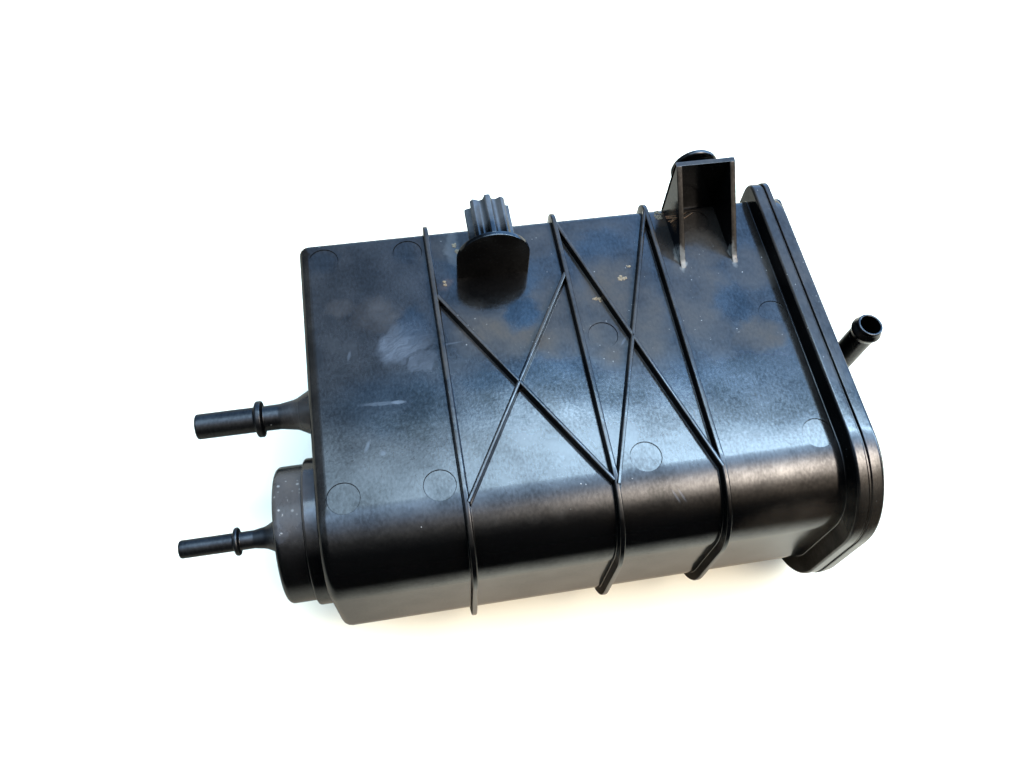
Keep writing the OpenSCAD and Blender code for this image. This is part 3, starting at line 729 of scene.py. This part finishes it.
# Where the dirt lies, in the form that patches() reads
shellDirt = {
    "filmAll": 0.02, "filmColour": "#968a7c", "filmCover": 0.155,
    "gloss": 0.10, "matt": 0.17, "mottle": 0.05,
    "film": (
        (107, 100, 0, 170, 110, 4, 0, 0.36), (107, 105, 4.6, 170, 80, 2.2, 0, 0.8),
        (98, 104, 0, 36, 24, 12, 0, 1.0), (140, 98, 0, 22, 42, 12, 0, 1.0),
        (176, 104, 0, 18, 34, 12, 0, 0.8), (196, 82, 0, 14, 9, 12, 0, 1.0),
        (205, 118, 0, 16, 14, 12, 0, 0.7), (100, 148, 0, 60, 12, 12, 0, 0.7),
        (221, 110, 8, 11, 70, 6, 0, 0.8), (185.7, 157, 31, 19, 6, 4, 0, 0.9),
        (186, 131, 0, 11, 12, 8, 0, 0.9),
    ),
    "clean": (
        (86, 124, 0, 20, 14, 10, -4, 1.0), (95, 108, 0, 9, 9, 10, 0, 1.0),
        (10.9, 147, 0, 6.2, 6.2, 6, 0, 0.5), (48.8, 147, 0, 6.2, 6.2, 6, 0, 0.5),
        (92, 76, 0, 30, 8, 10, 0, 0.9), (190, 99, 0, 8, 10, 10, 0, 0.8),
        (138, 140, 0, 12, 9, 10, 0, 0.7), (47, 108, 0, 7, 9, 10, 0, 0.9),
        (36, 70, 0, 26, 14, 10, 0, 0.8), (120, 64, 0, 70, 12, 10, 0, 0.6),
    ),
    "stains": (
        # brown film on the port panel, dust at the port end, grey fins, a painted highlight on the gusset
        # toes, brown earth in corners, dust low on the near side
        (((31, 115, 0, 10, 8, 8, 0, 1.0), (18, 121, 0, 8, 4, 8, -15, 0.7)), "#8a7868", 0.07),
        (((-5, 44, -16, 8, 20, 9, 0, 1.0), (-6, 96, -44, 10, 20, 20, 0, 0.8)), "#7a6c60", 0.28),
        (((85.6, 146, 19, 16, 9, 15, 0, 1.0), (70, 146, 0, 3, 8, 6, 0, 1.0)), "#9a9894", 0.18),
        # painted highlight: pale colour on the gusset toes stands for the glints there
        (((173.3, 126, 1, 1.3, 6, 6, 0, 1.0), (198.1, 126, 1, 1.3, 6, 6, 0, 1.0)), "#c8c4b8", 0.2),
        ((
            (169, 153, 1, 4, 5, 6, 0, 1.0), (173, 144, 10, 3, 6, 6, 0, 1.0),
            (63, 127, 0, 2.5, 3, 4, 0, 0.8),
        ), "#6b4f35", 0.2),
        (((196, 3, -34, 30, 8, 24, 0, 1.0), (222, 0, -30, 12, 12, 30, 0, 1.0)), "#7a6a58", 0.13),
    ),
    "dull": (
        (-36, 96, -47, 34, 26, 26, 0, 0.36), (85.6, 146, 16, 20, 11, 20, 0, 0.4),
        (236, 79, -30, 14, 20, 40, 0, 0.3),
    ),
    "gritStep": 1.9, "gritSize": 0.36, "gritRare": 0.008, "gritThick": 0.5,
    "strokeStep": 1.1, "strokeTurn": 0.5,
    "scuffs": ((47, 103.5, 0, 19, 9.5, 6, 36, 1.0), (49.5, 89, 0, 7, 4.5, 6, 20, 0.7)),
    "scuffFade": ((36, 95, 0, 16, 14, 20, 0, 1.0), (50, 88, 0, 8, 8, 20, 0, 0.7)),
    "scratches": (
        (30, 71.4, 0, 8, 0.8, 4, -3, 0.5), (36.6, 71.1, 0, 3, 0.8, 4, -3, 1.0),
        (22.5, 53, 0, 0.7, 2.6, 4, -25, 0.6), (28.4, 49, 0, 1.1, 1.1, 4, 0, 0.7),
        (18.5, 96, 0, 0.6, 2.2, 4, -15, 0.5), (62.3, 96.2, 0, 4, 0.35, 3, 4, 0.5),
        (136.7, 87.1, 0, 2.2, 0.5, 3, 50, 0.8), (142, 15, -3, 0.4, 2.5, 6, 30, 0.6),
        (144.5, 15, -3, 0.4, 2.5, 6, 30, 0.6),
    ),
}
shellNylon = mouldedNylon("glassFilledNylonMoulded", shellDirt)

# Dried mud in lumps, and a few straws caught at a gusset's foot
mud = {
    # middle of a heap, its reach each way and how many lumps
    "heaps": (
        (143.4, 119.4, 1.9, 1.6, 16), (130.0, 109.7, 2.4, 1.5, 14), (147.8, 126.2, 0.7, 0.7, 3),
        (70.6, 149.0, 0.7, 1.8, 9), (71.4, 144.5, 0.6, 2.2, 9), (72.2, 139.5, 0.5, 2.2, 7),
        (63.2, 127.6, 0.8, 1.2, 4), (169.0, 153.5, 2.2, 2.6, 24),
    ),
    "seed": 11, "lump": (0.25, 0.65), "longer": (1.0, 1.5), "flat": 0.5, "lumpSplits": 2,
    "crumb": 0.5, "crumbTones": (0.3, 0.7), "crumbBump": 0.6, "crumbLift": 0.2, "rough": 0.9,
    "straws": 7, "strawAt": (173.4, 142.0, 12.5), "strawStray": ((-3.0, 4.0), (-2.0, 1.5), (-0.6, 1.2)),
    "strawTurn": (-0.9, 0.9), "strawLean": (1.2, 1.7),
    "strawLong": (5.0, 9.0), "strawRadius": 0.22, "strawTip": 0.5, "strawSides": 6,
}


def earthy(name, pale, dark):
    # dried earth and straw: dull, crumbly and uneven in colour
    material, tree, shader, at = newMaterial(name)
    crumbs = addNode(tree, "TexNoise", {"Vector": at, "Scale": 1 / mud["crumb"], "Detail": 4.0})
    spread = addNode(tree, "MapRange", {"Value": crumbs, **spans(mud["crumbTones"])})
    colour = addNode(tree, "Mix", {0: spread, 6: linear(dark), 7: linear(pale)}, data_type="RGBA")
    bump = addNode(tree, "Bump", {
        "Height": crumbs, "Strength": mud["crumbBump"], "Distance": mud["crumbLift"] * mm,
    })
    connect(tree, shader, {"Base Color": colour.outputs[2], "Normal": bump, "Roughness": mud["rough"]})
    return material


def paint(made, index):
    for face in {f for v in made["verts"] for f in v.link_faces}:
        face.material_index = index


def mudAndStraw(bm):
    random.seed(mud["seed"])
    for x, y, reachX, reachY, count in mud["heaps"]:
        for lump in range(count):
            angle, far = random.uniform(0, 2 * math.pi), math.sqrt(random.random())
            size = random.uniform(*mud["lump"])
            spot = (x + reachX * far * math.cos(angle), y + reachY * far * math.sin(angle), 0)
            turned = Matrix.Rotation(random.uniform(0, math.pi), 4, "Z")
            long = Matrix.Diagonal((size * random.uniform(*mud["longer"]), size, size * mud["flat"], 1))
            place = Matrix.Translation(spot) @ turned @ long
            made = bmesh.ops.create_icosphere(bm, subdivisions=mud["lumpSplits"], radius=1, matrix=place)
            paint(made, 1)
    for straw in range(mud["straws"]):
        long = random.uniform(*mud["strawLong"])
        spot = Vector(mud["strawAt"]) + Vector([random.uniform(*stray) for stray in mud["strawStray"]])
        turned = Matrix.Rotation(random.uniform(*mud["strawTurn"]), 4, "Z")
        turned = turned @ Matrix.Rotation(random.uniform(*mud["strawLean"]), 4, "Y")
        made = bmesh.ops.create_cone(
            bm, cap_ends=True, segments=mud["strawSides"], radius1=mud["strawRadius"],
            radius2=mud["strawRadius"] * mud["strawTip"], depth=long,
            matrix=Matrix.Translation(spot) @ turned,
        )
        paint(made, 2)


driedMud = earthy("driedMud", "#86765c", "#5f4e3b")
dryStraw = earthy("dryStraw", "#553a1b", "#30210f")
bm = bmesh.new()
bodyShell(bm)
portCollar(bm)
portLathe(bm, spigotProfile(tankSpigot, 0, -shell["wall"]), tankSpigot["y"], tankSpigot["steps"])
diagonalBraces(bm)
starPeg(bm)
gussetBracket(bm)
innerWalls(bm)
mudAndStraw(bm)
finishPiece("canisterBody", bm, [shellNylon, driedMud, dryStraw], "canister_body")

# Purge cap: round cup with its own spigot
cap = {
    "radius": 29.5, "long": 12.4, "edge": 2.4, "inner": 26.9, "wall": 2.6,
    "floorRadius": 0.8, "seatRadius": 0.5, "rootStep": 1.0, "steps": 5,
}
purgeSpigot = {
    "tube": 3.945, "bead": 6.1, "beadAt": 19.9, "beadWide": 2.8, "reach": 44.1,
    "root": 9.0, "rootLong": 12.0, "bore": 2.6,
}


def purgeCap(bm):
    seat, face = collar["long"], collar["long"] + cap["long"]
    floorX = face - cap["wall"]
    rootEdge = (face, purgeSpigot["root"] + cap["rootStep"])
    profile = rounded([
        (floorX, cap["inner"], cap["floorRadius"]), (seat, cap["inner"]),
        (seat, cap["radius"], cap["seatRadius"]), (face, cap["radius"], cap["edge"]), rootEdge,
    ], cap["steps"], True)
    spigot = spigotProfile(purgeSpigot, face, floorX)
    portLathe(bm, profile + spigot[2:-1], collar["y"])


capDirt = {
    "filmAll": 0.03, "filmColour": "#857c74", "filmCover": 0.2, "gloss": 0.10, "matt": 0.35, "mottle": 0.08,
    "film": ((-12, 44, -20, 14, 17, 10, 0, 1.0),),
    "clean": ((-14, 8, -52, 30, 8, 10, 0, 0.8), (-50, 38, -47, 20, 10, 10, 0, 0.5)),
    "stains": ((((-10, 46, -20, 12, 17, 10, 0, 1.0), (-20, 38, -44, 5, 10, 10, 0, 1.0)), "#7d7064", 0.16),),
    "dull": ((-50, 38, -47, 34, 20, 20, 0, 0.36), (-12, 38, -30, 12, 34, 24, 0, 0.26)),
    "gritStep": 2.4, "gritSize": 0.95, "gritRare": 0.03, "gritThick": 0.8,
    "strokeStep": 2.4, "strokeTurn": 0.0,
    "scuffs": ((-16, 30, -20, 3, 6, 3, 0, 0.3),), "scuffFade": ((-16, 30, -20, 6, 8, 6, 0, 1.0),),
    "scratches": ((-40, 38, -43, 1.5, 0.6, 2, 20, 0.5),),
}
bm = bmesh.new()
purgeCap(bm)
finishPiece("purgeCap", bm, [mouldedNylon("nylonCapMoulded", capDirt)], "purge_cap")

# End cover: welded on at +X, with the vent nozzle turned up
cover = {
    "panIn": 4.0, "panRadius": 2.0, "panFoot": 1.4, "shoulderRadius": 1.6, "lipRadius": 0.5, "chamfer": 0.1,
}
nozzle = {
    "tube": 5.7, "bead": 7.0, "elbow": 6.4, "bore": 4.6, "elbowBore": 4.0, "bend": 11.0, "run": 1.5,
    "lean": 5.0, "tipZ": 2.0, "beadDown": 4.2, "steps": 40, "bendSteps": 10, "holeGap": 0.4,
    # the elbow's foot on the cover: places along the run and how much wider it is there
    "foot": ((-2.5, 0.6), (-1.2, 0.5), (-0.6, 0.0)),
    # the stem: where it, its bore and its thinner tube start, the bead's slopes, then edge radii
    "stemFrom": 1.2, "boreFrom": 1.4, "tubeFrom": 3.6, "beadBelow": 3.0, "beadAbove": 2.6,
    "fuller": 0.3, "tipLess": 0.1,
    "tubeRadius": 1.2, "slopeRadius": 1.5, "beadRadius": 1.8, "tipRadius": 0.5, "mouthRadius": 0.4,
}


def coverShell(bm):
    wall, chamfer = shell["wall"], cover["chamfer"]
    lip = flange["over"] + flange["coverLip"]
    step = lip - flange["shoulderDrop"]
    shoulder = rounded([
        (panEnd, -cover["panIn"]), (panEnd, 0, cover["panRadius"]), (panStart, 0, cover["panFoot"]),
        (panStart, step, cover["shoulderRadius"]), (shoulderStart, step),
    ])
    rim = rounded([
        (shoulderStart, lip - chamfer), (shoulderStart - chamfer, lip),
        (coverStart, lip, cover["lipRadius"]), (coverStart, 0),
    ])
    stations = [shoulderStation(p) if p[1] > 0 else ribStation(p) for p in shoulder]
    stations += [flangeStation(p) for p in rim]
    stations += [ribStation((coverStart, -wall)), ribStation((panEnd - wall, -wall))]
    loops = sweep(bm, sectionRing, stations, ringCount)
    closeEnd(bm, loops, panEnd, 1, [(midY, nozzle["elbowBore"] + nozzle["holeGap"])])


def nozzleRing(station):
    # a ring across the nozzle's path at (x, z, turn of the path, radius)
    x, z, turn, radius = station
    ring = []
    for i in range(nozzle["steps"]):
        angle = 2 * math.pi * i / nozzle["steps"]
        lift = radius * math.cos(angle)
        y = midY + radius * math.sin(angle)
        ring.append(Vector((x - lift * math.sin(turn), y, z + lift * math.cos(turn))))
    return ring


def ventNozzle(bm):
    elbow, bend = nozzle["elbow"], nozzle["bend"]
    elbowX = panEnd + nozzle["run"]
    full = math.radians(90 - nozzle["lean"])
    stemX = elbowX + bend * math.sin(full)
    stemZ = midZ + bend * (1 - math.cos(full))
    stemLong = (nozzle["tipZ"] - stemZ) / math.sin(full)

    def onPath(s, radius):
        # s below 0 is the run, 0 to 1 the elbow, above 1 the stem in mm
        if s <= 0:
            return elbowX + s, midZ, 0.0, radius
        if s <= 1:
            turn = full * s
            return elbowX + bend * math.sin(turn), midZ + bend * (1 - math.cos(turn)), turn, radius
        up = s - 1
        return stemX + up * math.cos(full), stemZ + up * math.sin(full), full, radius

    bends = [i / nozzle["bendSteps"] for i in range(nozzle["bendSteps"] + 1)]
    tube, bore, slope, tip = nozzle["tube"], nozzle["bore"], nozzle["slopeRadius"], 1 + stemLong
    mid = tip - nozzle["beadDown"]
    stemProfile = rounded([
        (nozzle["stemFrom"], elbow), (nozzle["tubeFrom"], tube, nozzle["tubeRadius"]),
        (mid - nozzle["beadBelow"], tube, slope), (mid, nozzle["bead"], nozzle["beadRadius"]),
        (mid + nozzle["beadAbove"], tube + nozzle["fuller"], slope),
        (tip, tube - nozzle["tipLess"], nozzle["tipRadius"]), (tip, bore, nozzle["mouthRadius"]),
        (nozzle["boreFrom"], bore),
    ])
    stations = [onPath(s, elbow + wider) for s, wider in nozzle["foot"]]
    stations += [onPath(s, elbow) for s in bends]
    stations += [onPath(p[0], p[1]) for p in stemProfile]
    stations += [onPath(s, nozzle["elbowBore"]) for s in reversed(bends)]
    stations.append(onPath(-nozzle["run"] - shell["wall"], nozzle["elbowBore"]))
    firstEdges, lastEdges = sweep(bm, nozzleRing, stations, nozzle["steps"])
    bmesh.ops.bridge_loops(bm, edges=firstEdges + lastEdges)


springs = {"radius": 6.8, "high": 5.0, "stepY": 39.5, "stepZ": 23.5, "steps": 32}


def springPips(bm):
    # four round pips inside the cover that hold the plate's springs
    middleX = panEnd - shell["wall"] - springs["high"] / 2 + sunk / 2
    for y in (midY - springs["stepY"], midY + springs["stepY"]):
        for z in (midZ - springs["stepZ"], midZ + springs["stepZ"]):
            rod(bm, (middleX, y, z), springs["radius"], springs["high"] + sunk, springs["steps"])


bm = bmesh.new()
coverShell(bm)
ventNozzle(bm)
springPips(bm)
finishPiece("endCover", bm, [shellNylon], "end_cover")


# Pieces inside: each keeps its CAD shape and gets the finish of what it is made of
speckle = {"tones": (0.1, 0.45), "clump": 3, "bump": 0.5}


def speckled(name, dark, pale, size, rough, lift, metallic=0.0):
    # an even speckle of two tones with a matching bump: fibres, pores, granules or drawn wire
    material, tree, shader, at = newMaterial(name)
    cells = addNode(tree, "TexVoronoi", {"Vector": at, "Scale": 1 / size})
    clump = speckle["clump"] * size
    noise = addNode(tree, "TexNoise", {"Vector": at, "Scale": 1 / clump, "Detail": 3.0})
    both = addNode(tree, "Math", {0: cells, 1: noise}, operation="MULTIPLY")
    spread = addNode(tree, "MapRange", {"Value": both, **spans(speckle["tones"])})
    colour = addNode(tree, "Mix", {0: spread, 6: linear(dark), 7: linear(pale)}, data_type="RGBA")
    bump = addNode(tree, "Bump", {"Height": both, "Strength": speckle["bump"], "Distance": lift * mm})
    connect(tree, shader, {
        "Base Color": colour.outputs[2], "Normal": bump, "Roughness": rough, "Metallic": metallic,
    })
    return material


gridNylon = speckled("nylonGridMoulded", "#141415", "#1f1f21", 0.8, 0.45, 0.05)  # plain satin black
fleece = speckled("polyesterFleeceNeedled", "#b9b4a6", "#d8d4c8", 0.6, 0.95, 0.3)  # pale matt felt
foam = speckled("polyurethaneFoamOpenCell", "#2a2a2c", "#5a5a5c", 1.2, 0.9, 0.6)  # grey with dark open pores
carbon = speckled("activatedCarbonGranules", "#0b0b0c", "#262627", 2.0, 0.7, 0.9)  # dull black grains
spring = speckled("springSteelDrawn", "#8a8c8f", "#b4b6b8", 0.4, 0.3, 0.02, 1.0)  # bright grey wire
innerFinish = {
    "grid": gridNylon, "plate": gridNylon, "screen": gridNylon, "fleece": fleece, "foam": foam,
    "bed": carbon, "spring": spring,
}
for nodeName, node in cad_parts.items():
    for word, finish in innerFinish.items():
        if word in nodeName.split("_"):
            for materialSlot in node.material_slots:
                materialSlot.material = finish
print("inner pieces finished")

# Studio: a pale floor that glows a little
studio = {"floorHalf": 4.0, "floor": "#e9e0c4", "floorGlow": 0.15, "floorRough": 0.8, "floorShine": 0.1}
scene = bpy.context.scene
scene.view_settings.view_transform = "Standard"


def flatSheet(name, half, lift, material):
    bm = bmesh.new()
    bmesh.ops.create_grid(
        bm, x_segments=1, y_segments=1, size=half, matrix=Matrix.Translation((0, 0, lift * mm)),
    )
    mesh = bpy.data.meshes.new(name)
    bm.to_mesh(mesh)
    bm.free()
    mesh.materials.append(material)
    sheet = bpy.data.objects.new(name, mesh)
    bpy.context.collection.objects.link(sheet)
    return sheet


floorMaterial = bpy.data.materials.new("paleCard")
floorMaterial.use_nodes = True
connect(floorMaterial.node_tree, floorMaterial.node_tree.nodes["Principled BSDF"], {
    "Base Color": linear(studio["floor"]), "Roughness": studio["floorRough"],
    "Specular IOR Level": studio["floorShine"],
    "Emission Color": (1, 1, 1, 1), "Emission Strength": studio["floorGlow"],
})
studioFloor = flatSheet("studioFloor", studio["floorHalf"], 0, floorMaterial)

# Daylight: a bright ceiling overhead, slate walls behind, a warm lamp to the right, dark in front
daylight = {
    # tilt of the light from straight up towards the far side, in degrees, and its radiance
    "ceiling": (
        (-60, (0.0, 0.0, 0.0)), (-48, (0.12, 0.12, 0.12)), (-34, (0.4, 0.4, 0.4)),
        (-22, (0.8, 0.9, 1.1)), (-9, (1.6, 2.2, 3.2)), (3, (2.8, 4.2, 6.2)), (12, (4.2, 6.4, 9.4)),
        (18, (6.4, 9.6, 13.4)), (20.5, (11.0, 16.0, 21.0)), (22.2, (17.5, 25.0, 32.0)),
        (24.4, (17.5, 25.0, 32.0)), (25.6, (2.8, 4.8, 7.6)), (27.8, (0.9, 2.4, 4.9)),
        (30, (0.95, 2.2, 4.4)), (33, (0.9, 2.0, 4.0)), (60, (0.8, 1.7, 3.3)),
    ),
    "peak": 32.0,
    # above these tilts the light grows towards the right, by this much for each degree
    "gainOver": (10.0, 20.0), "gain": 0.52, "gainPerDegree": 0.05, "gainLow": 0.34, "gainHigh": 1.15,
    # from and to, in degrees towards the right, and how far the ceiling bends across that
    "bends": ((-12.0, -6.0, 0.9), (2.0, 7.0, -1.7), (9.0, 24.0, 3.6)),
    # reflections dim towards the left: from, to and the share that is left
    "leftDark": (-26.0, -9.0, 0.08),
    "lamps": (
        # middle towards the right, middle towards the far side, spread each way, radiance
        (25, -20, 8.5, 10, (21.0, 18.4, 15.8)),
        (30, -42, 8, 14, (2.1, 1.7, 1.3)),
    ),
    "seen": 1.0,
}
world = bpy.data.worlds.new("softDaylight")
scene.world = world
world.use_nodes = True
tree = world.node_tree
skyDirection = addNode(tree, "TexCoord", {}).outputs["Generated"]
skyAxes = addNode(tree, "SeparateXYZ", {"Vector": skyDirection}).outputs
toDegrees = 180 / math.pi
tilt = addNode(tree, "Math", {0: skyAxes["Y"], 1: skyAxes["Z"]}, operation="ARCTAN2")
tilt = addNode(tree, "Math", {0: tilt, 1: toDegrees}, operation="MULTIPLY")
aside = addNode(tree, "Math", {0: skyAxes["X"]}, operation="ARCSINE")
aside = addNode(tree, "Math", {0: aside, 1: toDegrees}, operation="MULTIPLY")
bentTilt = tilt
for bendFrom, bendTo, bend in daylight["bends"]:
    past = addNode(tree, "MapRange", {"Value": aside, **spans((bendFrom, bendTo), (0.0, bend))})
    bentTilt = addNode(tree, "Math", {0: past, 1: bentTilt}, operation="ADD")
rampAt = addNode(tree, "MapRange", {"Value": bentTilt, **spans((-90.0, 90.0))})
ceiling = addNode(tree, "ValToRGB", {"Fac": rampAt})
stops = ceiling.color_ramp.elements
for i, (angle, radiance) in enumerate(daylight["ceiling"]):
    place = (angle + 90) / 180
    stop = stops[i] if i < 2 else stops.new(place)
    stop.position = place
    stop.color = [c / daylight["peak"] for c in radiance] + [1.0]
gain = addNode(tree, "Math", {
    0: aside, 1: daylight["gainPerDegree"], 2: daylight["gain"],
}, operation="MULTIPLY_ADD")
gain = addNode(tree, "Clamp", {"Value": gain, "Min": daylight["gainLow"], "Max": daylight["gainHigh"]})
inBand = addNode(tree, "MapRange", {"Value": tilt, **spans(daylight["gainOver"])})
gain = addNode(tree, "Mix", {0: inBand, 2: 1.0, 3: gain})
darkFrom, darkTo, darkLeft = daylight["leftDark"]
side = addNode(tree, "MapRange", {"Value": aside, **spans((darkFrom, darkTo), (darkLeft, 1.0))})
rays = addNode(tree, "LightPath", {}).outputs
side = addNode(tree, "Mix", {0: rays["Is Glossy Ray"], 2: 1.0, 3: side})
for share in (side, daylight["peak"]):
    gain = addNode(tree, "Math", {0: gain, 1: share}, operation="MULTIPLY")
light = addNode(tree, "VectorMath", {0: ceiling, "Scale": gain}, operation="SCALE")
skyPlace = addNode(tree, "CombineXYZ", {"X": aside, "Y": tilt})
for right, far, spreadX, spreadY, radiance in daylight["lamps"]:
    # a round glow that fades as e to minus half the square of the distance from its middle
    glow = addNode(tree, "Mapping", {
        "Vector": skyPlace, "Location": (right, far, 0), "Scale": (spreadX, spreadY, 1),
    }, vector_type="TEXTURE")
    glow = addNode(tree, "VectorMath", {0: glow, 1: glow}, operation="DOT_PRODUCT").outputs["Value"]
    glow = addNode(tree, "Math", {0: glow, 1: -0.5}, operation="MULTIPLY")
    glow = addNode(tree, "Math", {0: glow}, operation="EXPONENT")
    glow = addNode(tree, "VectorMath", {0: radiance, "Scale": glow}, operation="SCALE")
    light = addNode(tree, "VectorMath", {0: light, 1: glow}, operation="ADD")
sky = tree.nodes["Background"]
connect(tree, sky, {"Color": light})
backdrop = addNode(tree, "Background", {"Color": (1, 1, 1, 1), "Strength": daylight["seen"]})
both = addNode(tree, "MixShader", {0: rays["Is Camera Ray"], 1: sky, 2: backdrop})
connect(tree, tree.nodes["World Output"], {"Surface": both})

# A card on the floor that only reflections see: warm grey by the canister, black further in front as painted
# shade, and dim on the left as painted shade
card = {
    "half": 5.0, "lift": 0.5, "grey": "#c2b196", "black": "#050505",
    "front": (-160.0, -35.0), "left": (-40.0, 70.0), "dim": 0.4,
}
cardMaterial, tree, shader, at = newMaterial("reflectedShadeCard")
cardAxes = addNode(tree, "SeparateXYZ", {"Vector": at}).outputs
# painted shade: black in front and dimmer on the left, seen only in reflections
near = addNode(tree, "MapRange", {
    "Value": cardAxes["Y"], **spans(card["front"]),
}, interpolation_type="SMOOTHSTEP")
lit = addNode(tree, "MapRange", {
    "Value": cardAxes["X"], **spans(card["left"], (card["dim"], 1.0)),
}, interpolation_type="SMOOTHSTEP")
near = addNode(tree, "Math", {0: near, 1: lit}, operation="MULTIPLY")
cardColour = addNode(tree, "Mix", {
    0: near, 6: linear(card["black"]), 7: linear(card["grey"]),
}, data_type="RGBA").outputs[2]
connect(tree, shader, {"Base Color": cardColour, "Specular IOR Level": 0.0})
reflectedCard = flatSheet("reflectedCard", card["half"], card["lift"], cardMaterial)
reflectedCard.visible_camera = False
reflectedCard.visible_diffuse = False
reflectedCard.visible_shadow = False
print("studio set")
